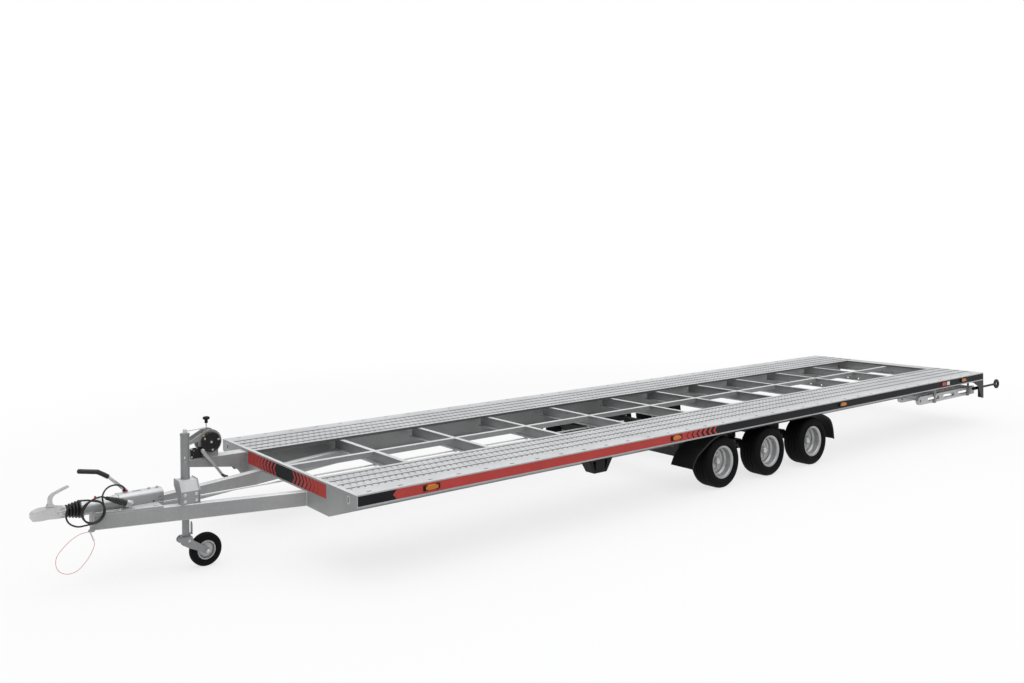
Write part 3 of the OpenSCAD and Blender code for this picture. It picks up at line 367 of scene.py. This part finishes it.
def cord_curve(name, route, diameter, slot):
    """Round cord along the smooth curve through the route's points."""
    points = [at_deck(*p) for p in route]
    data = bpy.data.curves.new(name, "CURVE")
    data.dimensions = "3D"
    data.resolution_u = 8
    data.bevel_depth = diameter / 2
    data.bevel_resolution = 4
    data.use_fill_caps = True
    line = data.splines.new("BEZIER")
    line.bezier_points.add(len(points) - 1)
    for i, knot in enumerate(line.bezier_points):
        slope = (points[min(i + 1, len(points) - 1)] - points[max(i - 1, 0)]) / 6
        knot.handle_left_type = knot.handle_right_type = "FREE"
        knot.co = points[i]
        knot.handle_left = points[i] - slope
        knot.handle_right = points[i] + slope
    made = bpy.data.objects.new(name, data)
    bpy.context.scene.collection.objects.link(made)
    data.materials.append(look(slot))
    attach(made, "chassis")
    return made


def make_cords():
    ribs = make_plug_ribs()
    lead = cord_curve("lead_cord", LEAD_ROUTE, LEAD_D, "black_rubber")
    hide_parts("lead")
    cable = cord_curve("breakaway_cord", BREAKAWAY_ROUTE, BREAKAWAY_D, "red_wire")
    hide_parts("breakaway_cable")


# Stage and light


def seen_by(tree, kinds):
    """Socket that is 1 for rays of those kinds and 0 for all others."""
    path = tree.nodes.new("ShaderNodeLightPath")
    result = path.outputs[kinds[0]]
    for kind in kinds[1:]:
        either = tree.nodes.new("ShaderNodeMath")
        either.operation = "MAXIMUM"
        tree.links.new(result, either.inputs[0])
        tree.links.new(path.outputs[kind], either.inputs[1])
        result = either.outputs[0]
    return result


def make_stage():
    floor = bpy.data.meshes.new("floor")
    reach = 60
    floor.from_pydata(
        [(-reach, -reach, 0), (reach, -reach, 0), (reach, reach, 0), (-reach, reach, 0)], [], [(0, 1, 2, 3)]
    )
    made = bpy.data.objects.new("floor", floor)
    bpy.context.scene.collection.objects.link(made)
    mat = bpy.data.materials.new("floor")
    mat.use_nodes = True
    tree = mat.node_tree
    tree.nodes.clear()
    place = tree.nodes.new("ShaderNodeTexCoord")
    reach_of = tree.nodes.new("ShaderNodeVectorMath")
    reach_of.operation = "LENGTH"
    tree.links.new(place.outputs["Object"], reach_of.inputs[0])
    share = tree.nodes.new("ShaderNodeMapRange")
    share.interpolation_type = "SMOOTHSTEP"
    share.inputs["From Min"].default_value = 4.0
    share.inputs["From Max"].default_value = 9.0
    share.inputs["To Min"].default_value = 0.72
    share.inputs["To Max"].default_value = 1.0
    tree.links.new(reach_of.outputs["Value"], share.inputs["Value"])
    shown = seen_by(tree, ("Is Camera Ray", "Is Glossy Ray", "Is Transmission Ray"))
    glow_share = tree.nodes.new("ShaderNodeMath")
    glow_share.operation = "MULTIPLY"
    tree.links.new(share.outputs[0], glow_share.inputs[0])
    tree.links.new(shown, glow_share.inputs[1])
    plain = tree.nodes.new("ShaderNodeBsdfDiffuse")
    plain.inputs["Color"].default_value = (0.68, 0.68, 0.68, 1)
    glow = tree.nodes.new("ShaderNodeEmission")
    glow.inputs["Color"].default_value = (1, 1, 1, 1)
    mix = tree.nodes.new("ShaderNodeMixShader")
    tree.links.new(glow_share.outputs[0], mix.inputs[0])
    tree.links.new(plain.outputs[0], mix.inputs[1])
    tree.links.new(glow.outputs[0], mix.inputs[2])
    out = tree.nodes.new("ShaderNodeOutputMaterial")
    tree.links.new(mix.outputs[0], out.inputs["Surface"])
    floor.materials.append(mat)


def make_light():
    world = bpy.data.worlds.new("world")
    bpy.context.scene.world = world
    world.use_nodes = True
    tree = world.node_tree
    tree.nodes.clear()
    shown = seen_by(tree, ("Is Camera Ray", "Is Transmission Ray"))
    place = tree.nodes.new("ShaderNodeTexCoord")
    split = tree.nodes.new("ShaderNodeSeparateXYZ")
    tree.links.new(place.outputs["Generated"], split.inputs[0])
    height = tree.nodes.new("ShaderNodeMapRange")
    height.inputs["From Min"].default_value = 0.0
    height.inputs["From Max"].default_value = 1.0
    height.inputs["To Min"].default_value = 0.10
    height.inputs["To Max"].default_value = 1.6
    tree.links.new(split.outputs["Z"], height.inputs["Value"])
    soft = tree.nodes.new("ShaderNodeBackground")
    soft.inputs["Color"].default_value = (0.99, 0.995, 1, 1)
    tree.links.new(height.outputs[0], soft.inputs["Strength"])
    white = tree.nodes.new("ShaderNodeBackground")
    white.inputs["Color"].default_value = (1, 1, 1, 1)
    white.inputs["Strength"].default_value = 1.0
    mix = tree.nodes.new("ShaderNodeMixShader")
    tree.links.new(shown, mix.inputs[0])
    tree.links.new(soft.outputs[0], mix.inputs[1])
    tree.links.new(white.outputs[0], mix.inputs[2])
    out = tree.nodes.new("ShaderNodeOutputWorld")
    tree.links.new(mix.outputs[0], out.inputs["Surface"])
    data = bpy.data.lights.new("overhead", "AREA")
    data.shape = "RECTANGLE"
    data.size = 14
    data.size_y = 9
    data.energy = 260
    lamp = bpy.data.objects.new("overhead", data)
    lamp.matrix_world = facing((0.5, 3.5, 7.5), (0.0, 0.35, 1.0))
    bpy.context.scene.collection.objects.link(lamp)
    sun = bpy.data.lights.new("key", "SUN")
    sun.energy = 0.25
    sun.angle = math.radians(60)
    key = bpy.data.objects.new("key", sun)
    key.matrix_world = facing((0, 0, 6), (-0.05, 0.12, 1.0))
    bpy.context.scene.collection.objects.link(key)


# Foils on the rail and on the front panel

FOIL_T = 0.0004
FOIL_TOP = 0.009
FOIL_FOOT = 0.012
RED_FROM = 0.276
RED_TO = 3.556
CHEVRONS = 6
CHEVRON_PITCH = 0.062
FRONT_CHEVRONS = 7


def add_sheet(bm, outline, place, thick):
    """Thin plate with that outline, raised from the matrix place's XY plane."""
    low = [bm.verts.new(place @ Vector((u, v, 0))) for u, v in outline]
    high = [bm.verts.new(place @ Vector((u, v, thick))) for u, v in outline]
    bm.faces.new(low[::-1])
    bm.faces.new(high)
    count = len(outline)
    for k in range(count):
        m = (k + 1) % count
        bm.faces.new((low[k], low[m], high[m], high[k]))


def chevron(tip, depth, width, low, high):
    """Outline of a bent bar: its point at tip, its arms depth away towards -u for a positive depth."""
    mid = (low + high) / 2
    return [
        (tip, mid), (tip - depth, high), (tip - depth - width, high), (tip - width, mid),
        (tip - depth - width, low), (tip - depth, low),
    ]


def make_side_foils():
    height = deck_top - FOIL_TOP - rail_low - FOIL_FOOT
    for side, name in ((1, "left"), (-1, "right")):
        origin = Vector((deck_front, side * half_w, rail_low + FOIL_FOOT))
        turn = Matrix(((1, 0, 0), (0, 0, side), (0, 1, 0))).to_4x4()
        place = Matrix.Translation(origin) @ turn
        bm = bmesh.new()
        add_sheet(bm, [(-0.012, 0), (-0.012, height), (deck_back - deck_front + 0.006, height),
            (deck_back - deck_front + 0.006, 0)], place, FOIL_T)
        piece(f"foil_black_{name}", mesh_of("foil_black", bm), "foil_black")
        over = place @ Matrix.Translation((0, 0, FOIL_T))
        bm = bmesh.new()
        point = 0.03
        add_sheet(bm, [(-RED_FROM, height / 2), (-RED_FROM - point, height),
            (-RED_TO + CHEVRONS * CHEVRON_PITCH - point, height), (-RED_TO + CHEVRONS * CHEVRON_PITCH, height / 2),
            (-RED_TO + CHEVRONS * CHEVRON_PITCH - point, 0), (-RED_FROM - point, 0)], over, FOIL_T)
        for i in range(CHEVRONS):
            gap = 0.010 + 0.006 * i
            tip = -RED_TO + (CHEVRONS - i) * CHEVRON_PITCH - gap
            add_sheet(bm, chevron(tip, point, CHEVRON_PITCH - gap, 0, height), over, FOIL_T)
        piece(f"foil_red_{name}", mesh_of("foil_red", bm), "foil_red")


def make_front_foil():
    left, right, low, high = -0.559, 0.664, deck_top - 0.105, deck_top - 0.012
    mid = (left + right) / 2
    height = high - low
    origin = Vector((deck_front, mid, low))
    place = Matrix.Translation(origin) @ Matrix(((0, 0, 1), (1, 0, 0), (0, 1, 0))).to_4x4()
    half = (right - left) / 2
    bm = bmesh.new()
    add_sheet(bm, [(-half, 0), (half, 0), (half, height), (-half, height)], place, FOIL_T)
    piece("foil_black_front", mesh_of("foil_black", bm), "foil_black")
    over = place @ Matrix.Translation((0, 0, FOIL_T))
    bm = bmesh.new()
    inner = 0.125
    pitch = 0.055
    point = 0.034
    for s in (-1, 1):
        for i in range(FRONT_CHEVRONS):
            gap = 0.032 - 0.0042 * i
            tip = inner + (i + 1) * pitch
            outline = chevron(tip, point, pitch - gap, 0, height)
            add_sheet(bm, [(s * u, v) for u, v in outline], over, FOIL_T)
        start = inner + FRONT_CHEVRONS * pitch + 0.004
        add_sheet(bm, [(s * (start - point), height), (s * half, height), (s * half, 0),
            (s * (start - point), 0), (s * start, height / 2)], over, FOIL_T)
    piece("foil_red_front", mesh_of("foil_red", bm), "foil_red")


# Small fittings

# Bolt heads: half width and, for each, metres ahead of the deck, left of the centre, above the
# ground, and the way it faces
BOLTS = {
    "base_plate_bolts": (0.010, [
        (x, s * y, 0.466, (0, 0, 1)) for s in (-1, 1) for x, y in ((0.960, 0.125), (1.180, 0.090))
    ]),
    "housing_top_bolts": (0.0075, [(x, 0, 0.555, (0, 0, 1)) for x in (0.908, 0.962)]),
    "coupling_bolts": (0.0085, [
        (x, s * 0.042, 0.495, (0, s, 0)) for s in (-1, 1) for x in (1.509, 1.529)
    ]),
    "clamp_bolts": (0.0095, [
        (x, 0.196, z, (0, 1, 0)) for x in (0.712, 0.788) for z in (0.478, 0.520)
    ]),
    "lever_bolt": (0.012, [(1.094, -0.0653, 0.495, (0, -1, 0)), (1.094, 0.055, 0.495, (0, 1, 0))]),
    "winch_cover_bolts": (0.0075, [
        (0.292, -0.569, 0.669, (0, 1, 0)), (0.292 + 0.052, -0.573, 0.669 + 0.030, (0, 1, 0)),
        (0.292 - 0.058, -0.573, 0.669 + 0.016, (0, 1, 0)), (0.292 - 0.01, -0.573, 0.669 - 0.06, (0, 1, 0)),
    ]),
    "crank_nut": (0.010, [(0.364, -0.558, 0.615, (0, 1, 0))]),
    "winch_foot_bolts": (0.009, [
        (x, -0.640 + s * 0.028, 0.553, (0, 0, 1)) for s in (-1, 1) for x in (0.405, 0.445)
    ]),
    "gearbox_bolts": (0.006, [
        (x, -0.590, z, (0, 1, 0)) for x, z in ((0.345, 0.571), (0.440, 0.571), (0.440, 0.632))
    ]),
}


def make_bolts():
    for name, (size, places) in BOLTS.items():
        bm = bmesh.new()
        for turn, (x, y, z, direction) in enumerate(places):
            add_bolt(bm, at_deck(x, y, z), direction, size, 0.4 * turn)
        piece(name, mesh_of(name, bm), "zinc")


# Raised pips between the rows of holes in the wheel tracks
PIP_ROWS = (0.614, 0.722, 0.830)
PIP_PITCH = 0.052
PIP_FIRST = -0.092
PIP_R = 0.0085
PIP_H = 0.0032


def make_pips():
    count = int((deck_front - deck_back - 0.16) / PIP_PITCH)
    for side, name in ((1, "left"), (-1, "right")):
        bm = bmesh.new()
        for row in PIP_ROWS:
            for i in range(count):
                place = Matrix.Translation(at_deck(PIP_FIRST - i * PIP_PITCH, side * row, deck_top - 0.0001))
                add_turned(bm, [(PIP_R, 0), (0.75 * PIP_R, 0.65 * PIP_H), (0.3 * PIP_R, PIP_H)], place, 10)
        piece(f"track_pips_{name}", mesh_of("track_pips", bm), "track_steel", smooth=True)


WHEELS = [(side, row) for side in "lr" for row in (1, 2, 3)]
NUT_CIRCLE = 0.056
NUTS = 5


def make_wheel_fittings():
    """Nuts, hub cap and valve on each rim, and a scuff rib on each tyre wall."""
    for side, row in WHEELS:
        body = f"wheel_{side}{row}"
        low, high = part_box(f"tyre_{side}{row}")
        centre = (low + high) / 2
        out = 1 if side == "l" else -1
        face = facing(centre, (0, out, 0))
        bm = bmesh.new()
        for k in range(NUTS):
            a = 2 * math.pi * k / NUTS
            spot = face @ Vector((NUT_CIRCLE * math.cos(a), NUT_CIRCLE * math.sin(a), 0.004))
            add_bolt(bm, spot, (0, out, 0), 0.0095, a)
        piece(f"wheel_nuts_{side}{row}", mesh_of("wheel_nuts", bm), "zinc", body)
        bm = bmesh.new()
        over = face @ Matrix.Translation((0, 0, 0.032))
        add_turned(bm, [(0.030, 0), (0.0295, 0.004), (0.024, 0.009), (0.010, 0.012), (0.0001, 0.0125)], over, 28)
        piece(f"hub_cap_{side}{row}", mesh_of("hub_cap", bm), "zinc", body, smooth=True)
        bm = bmesh.new()
        stem = facing(face @ Vector((0.0, 0.112, 0.012)), face.to_3x3() @ Vector((0, 0.25, 1)))
        add_turned(bm, [(0.006, 0), (0.006, 0.016), (0.004, 0.018), (0.004, 0.032), (0.0045, 0.033),
            (0.0045, 0.042), (0.003, 0.043)], stem, 12)
        piece(f"valve_{side}{row}", mesh_of("valve", bm), "black_rubber", body)
        bm = bmesh.new()
        width = (high.y - low.y) / 2
        for end in (1, -1):
            wall = facing(centre, (0, end, 0))
            for radius in (0.1675, 0.1825):
                rings = []
                for k in range(72):
                    a = 2 * math.pi * k / 72
                    rings.append([
                        wall @ Vector((r * math.cos(a), r * math.sin(a), h))
                        for r, h in ((radius - 0.0022, width - 0.0030), (radius - 0.0008, width + 0.0009),
                            (radius + 0.0008, width + 0.0009), (radius + 0.0022, width - 0.0030))
                    ])
                add_ring_tube(bm, [*rings, rings[0]], closed=False)
        piece(f"wall_ribs_{side}{row}", mesh_of("wall_ribs", bm), "tyre", body, smooth=True)


def add_block(bm, low, high, chamfer=0.0):
    """Box between two corners, with its edges cut by the chamfer."""
    made = bmesh.ops.create_cube(bm, size=1)
    size = [b - a for a, b in zip(low, high)]
    mid = [(a + b) / 2 for a, b in zip(low, high)]
    bmesh.ops.scale(bm, vec=size, verts=made["verts"])
    bmesh.ops.translate(bm, vec=mid, verts=made["verts"])
    if chamfer:
        edges = {edge for vert in made["verts"] for edge in vert.link_edges}
        bmesh.ops.bevel(bm, geom=list(edges), offset=chamfer, segments=2, profile=0.6, affect="EDGES")


# Middles of the side lamps behind the deck's front
SIDE_LAMPS = (0.580, 3.055, 5.530, 8.005)


def make_lamp_ends():
    """Black ends of the side lamps with their screws, and the reflectors beside the rearmost."""
    lamps_low, lamps_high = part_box("side_lamps")
    for side, name in ((1, "left"), (-1, "right")):
        dark = bmesh.new()
        screws = bmesh.new()
        for x in SIDE_LAMPS:
            for end in (-1, 1):
                at = deck_front - x + end * 0.050
                low = (at - 0.016, side * half_w, lamps_low.z - 0.001)
                high = (at + 0.016, side * (half_w + 0.0118), lamps_high.z + 0.001)
                add_block(dark, low, high, 0.003)
                middle = ((lamps_low.z + lamps_high.z) / 2)
                place = facing((at, side * (half_w + 0.0105), middle), (0, side, 0))
                add_turned(screws, [(0.004, 0), (0.0035, 0.0010), (0.0015, 0.0013)], place, 12)
        piece(f"lamp_ends_{name}", mesh_of("lamp_ends", dark), "black_plastic")
        piece(f"lamp_screws_{name}", mesh_of("lamp_screws", screws), "zinc", smooth=True)
        bm = bmesh.new()
        at = deck_front - 7.56
        add_block(bm, (at - 0.045, side * (half_w + 0.0006), deck_top - 0.058),
            (at + 0.045, side * (half_w + 0.0060), deck_top - 0.020), 0.002)
        piece(f"reflector_{name}", mesh_of("reflector", bm), "lamp_red")
        bm = bmesh.new()
        add_block(bm, (at - 0.130, side * (half_w + 0.0006), deck_top - 0.060),
            (at - 0.070, side * (half_w + 0.0018), deck_top - 0.022))
        piece(f"bare_plate_{name}", mesh_of("bare_plate", bm), "plate_white")


# Coupling and drawbar

COUPLING_RINGS = {
    "nipple_caps": ("red_wire", [((1.308, 0, 0.551), (0, 0, 1), [(0.0075, 0), (0.0075, 0.006), (0.005, 0.0085)]),
        ((1.106, 0, 0.559), (0, 0, 1), [(0.0075, 0), (0.0075, 0.006), (0.005, 0.0085)])]),
    "gaiter_clips": ("zinc", [((1.3995, 0, 0.495), (1, 0, 0), [(0.0500, 0), (0.0512, 0.0008), (0.0512, 0.0052), (0.0500, 0.006)]),
        ((1.489, 0, 0.495), (1, 0, 0), [(0.0335, 0), (0.0345, 0.0008), (0.0345, 0.0052), (0.0335, 0.006)])]),
    "gland_nut": ("black_plastic", [((1.122, 0, 0.5595), (0, 0, 1), [(0.0105, 0), (0.0105, 0.008), (0.0085, 0.013), (0.0062, 0.016)])]),
}


def make_coupling_rings():
    for name, (slot, rings) in COUPLING_RINGS.items():
        bm = bmesh.new()
        for place, direction, profile in rings:
            add_turned(bm, profile, facing(at_deck(*place), direction), 28)
        piece(name, mesh_of(name, bm), slot, smooth=False)


# Axis of the plug, and along it each rib's distance from the cord's end and radius
PLUG_TAIL = (1.268, 0.092, 0.562)
PLUG_NOSE = (1.138, 0.084, 0.505)
PLUG_RIBS = [(0.004 + 0.006 * k, 0.0112 + 0.0004 * k) for k in range(4)] + [
    (0.064 + 0.008 * k, 0.0186) for k in range(4)
]


def make_plug_ribs():
    axis = at_deck(*PLUG_NOSE) - at_deck(*PLUG_TAIL)
    bm = bmesh.new()
    for along, radius in PLUG_RIBS:
        place = facing(at_deck(*PLUG_TAIL) + axis.normalized() * along, axis)
        add_turned(bm, [(radius - 0.0035, -0.0012), (radius, 0), (radius, 0.0022), (radius - 0.0035, 0.0034)],
            place, 24)
    return piece("plug_ribs", mesh_of("plug_ribs", bm), "black_rubber")


def add_bead(bm, points, radius, sides=8, wobble=0.25):
    """Weld bead: a round string along the points with a ripple."""
    count = len(points)
    rings = []
    for i, point in enumerate(points):
        ahead = points[min(i + 1, count - 1)] - points[max(i - 1, 0)]
        place = facing(point, ahead)
        r = radius * (1 + wobble * math.sin(2.1 * i))
        rings.append([place @ Vector((r * math.cos(a), r * math.sin(a), 0))
            for a in (2 * math.pi * k / sides for k in range(sides))])
    add_ring_tube(bm, rings)


def string_of(start, stop, step=0.004):
    one, two = at_deck(*start), at_deck(*stop)
    count = max(2, int((two - one).length / step))
    return [one.lerp(two, i / count) for i in range(count + 1)]


# Welds: the ends of each bead
WELDS = {
    "drawbar_welds": [
        ((0.001, 0.397, 0.362), (0.001, 0.397, 0.455)), ((0.001, -0.397, 0.362), (0.001, -0.397, 0.455)),
        ((1.331, 0.002, 0.362), (1.331, 0.002, 0.455)),
        ((0.885, 0.0565, 0.467), (1.320, 0.0565, 0.467)), ((0.885, -0.0565, 0.467), (1.320, -0.0565, 0.467)),
    ],
    "winch_arm_welds": [((0.002, -0.579, 0.410), (0.002, -0.579, 0.548)), ((0.002, -0.701, 0.410), (0.002, -0.701, 0.548))],
}


def make_welds():
    for name, beads in WELDS.items():
        bm = bmesh.new()
        for start, stop in beads:
            add_bead(bm, string_of(start, stop), 0.0028)
        piece(name, mesh_of(name, bm), "zinc", smooth=True)


TIE_SLOT = (0.954, 0.525)


def slot_outline(length, width, steps=10):
    """Outline of an upright slot round its middle."""
    r = width / 2
    reach = length / 2 - r
    points = []
    for k in range(steps + 1):
        a = math.pi * k / steps
        points.append((r * math.cos(a), reach + r * math.sin(a)))
    for k in range(steps + 1):
        a = math.pi + math.pi * k / steps
        points.append((r * math.cos(a), -reach + r * math.sin(a)))
    return points


def make_slot_rims():
    """Bright folded rims round the tie-down slots of the front panel."""
    bm = bmesh.new()
    for side in (1, -1):
        place = Matrix.Translation(at_deck(0, side * TIE_SLOT[0], TIE_SLOT[1]))
        place = place @ Matrix(((0, 0, 1), (1, 0, 0), (0, 1, 0))).to_4x4()
        rings = []
        for grow, h in ((0.0002, -0.0035), (0.0002, 0.0012), (0.0022, 0.0028), (0.0048, 0.0012), (0.0052, 0.0001)):
            rings.append([place @ Vector((u, v, h)) for u, v in slot_outline(0.045 + 2 * grow, 0.024 + 2 * grow)])
        add_ring_tube(bm, rings, closed=False)
    piece("slot_rims", mesh_of("slot_rims", bm), "zinc", smooth=True)


def make_grip_end():
    """Rounded end of the handbrake's grip."""
    bm = bmesh.new()
    start = at_deck(1.392, -0.0603, 0.718)
    axis = Vector((0.117, 0, 0.021)).normalized()
    r = 0.015
    profile = [(r, 0), (0.93 * r, 0.004), (0.75 * r, 0.0075), (0.45 * r, 0.0095), (0.0001, 0.0105)]
    add_turned(bm, profile, facing(start, axis), 24)
    piece("grip_end", mesh_of("grip_end", bm), "black_rubber", smooth=True)


def make_outrigger_welds():
    low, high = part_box("outriggers")
    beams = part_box("main_beams")
    bm = bmesh.new()
    for entry in CROSS_AT:
        for side in (1, -1):
            y = side * (beams[1].y + 0.001)
            add_bead(bm, string_of((-entry, y, low.z + 0.004), (-entry, y, high.z - 0.003), 0.006), 0.0022, 6)
    piece("outrigger_welds", mesh_of("outrigger_welds", bm), "galvanised", smooth=True)


# Distances of the crossbeams behind the deck's front
CROSS_AT = (0.780, 1.555, 2.330, 3.105, 3.935, 4.617, 5.299, 5.981, 6.7607, 7.5403, 8.320)


# Winch: strap rolled on the barrel, the pawl and the crank washer
def make_winch_details():
    bm = bmesh.new()
    place = facing(at_deck(0.292, -0.681, 0.669), (0, 1, 0))
    profile = [(0.040, 0.0)]
    for k in range(9):
        profile += [(0.0535, 0.002 + 0.008 * k), (0.0525, 0.006 + 0.008 * k)]
    profile.append((0.040, 0.074))
    add_turned(bm, profile, place, 40)
    piece("winch_strap", mesh_of("winch_strap", bm), "black_rubber")
    bm = bmesh.new()
    pawl = facing(at_deck(0.352, -0.580, 0.722), (0, 1, 0))
    outline = [(-0.008, -0.005), (0.026, -0.012), (0.034, -0.004), (0.022, 0.006), (-0.006, 0.007)]
    add_sheet(bm, outline, pawl, 0.005)
    piece("winch_pawl", mesh_of("winch_pawl", bm), "brass")
    bm = bmesh.new()
    hub = facing(at_deck(0.364, -0.5585, 0.615), (0, 1, 0))
    add_turned(bm, [(0.013, 0), (0.013, 0.003), (0.011, 0.0042), (0.0065, 0.0042)], hub, 24)
    piece("crank_washer", mesh_of("crank_washer", bm), "zinc")


# Jockey wheel
def make_jockey_details():
    low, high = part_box("jockey_fork")
    hub = at_deck(0.615, 0, 0.110)
    bm = bmesh.new()
    for side in (1, -1):
        y = 0.10004 + side * 0.0475
        add_bolt(bm, Vector((hub.x, y, hub.z)), (0, side, 0), 0.0115)
        add_bolt(bm, at_deck(0.741, 0.10004 + side * 0.0435, 0.200), (0, side, 0), 0.008)
    piece("fork_bolts", mesh_of("fork_bolts", bm), "zinc", "jockey_fork_body")
    bm = bmesh.new()
    spot = at_deck(0.750, 0.100, 0)
    for z in (0.462, 0.600):
        place = Matrix.Translation((spot.x, spot.y, z))
        add_turned(bm, [(0.0302, 0), (0.0316, 0.0008), (0.0316, 0.004), (0.0302, 0.005)], place, 40)
    piece("post_rings", mesh_of("post_rings", bm), "jockey_steel")
    bm = bmesh.new()
    hook = [at_deck(*p) for p in (
        (0.762, 0.128, 0.760), (0.766, 0.140, 0.757), (0.770, 0.149, 0.746), (0.770, 0.150, 0.732),
        (0.766, 0.146, 0.722), (0.760, 0.140, 0.720),
    )]
    add_bead(bm, hook, 0.0028, 8, 0)
    piece("post_hook", mesh_of("post_hook", bm), "zinc", smooth=True)
    bm = bmesh.new()
    cap = at_deck(0.750, 0.100, 0.905)
    add_turned(bm, [(0.013, 0.0215), (0.011, 0.026), (0.005, 0.0275)], Matrix.Translation(cap), 20)
    piece("crank_cap", mesh_of("crank_cap", bm), "zinc", smooth=True)


make_camera()
make_cords()
dress_nodes()
make_stage()
make_light()
make_side_foils()
make_front_foil()
make_bolts()
make_pips()
make_wheel_fittings()
make_lamp_ends()
make_coupling_rings()
make_welds()
make_outrigger_welds()
make_slot_rims()
make_grip_end()
make_winch_details()
make_jockey_details()

bpy.context.scene.view_settings.view_transform = "Standard"
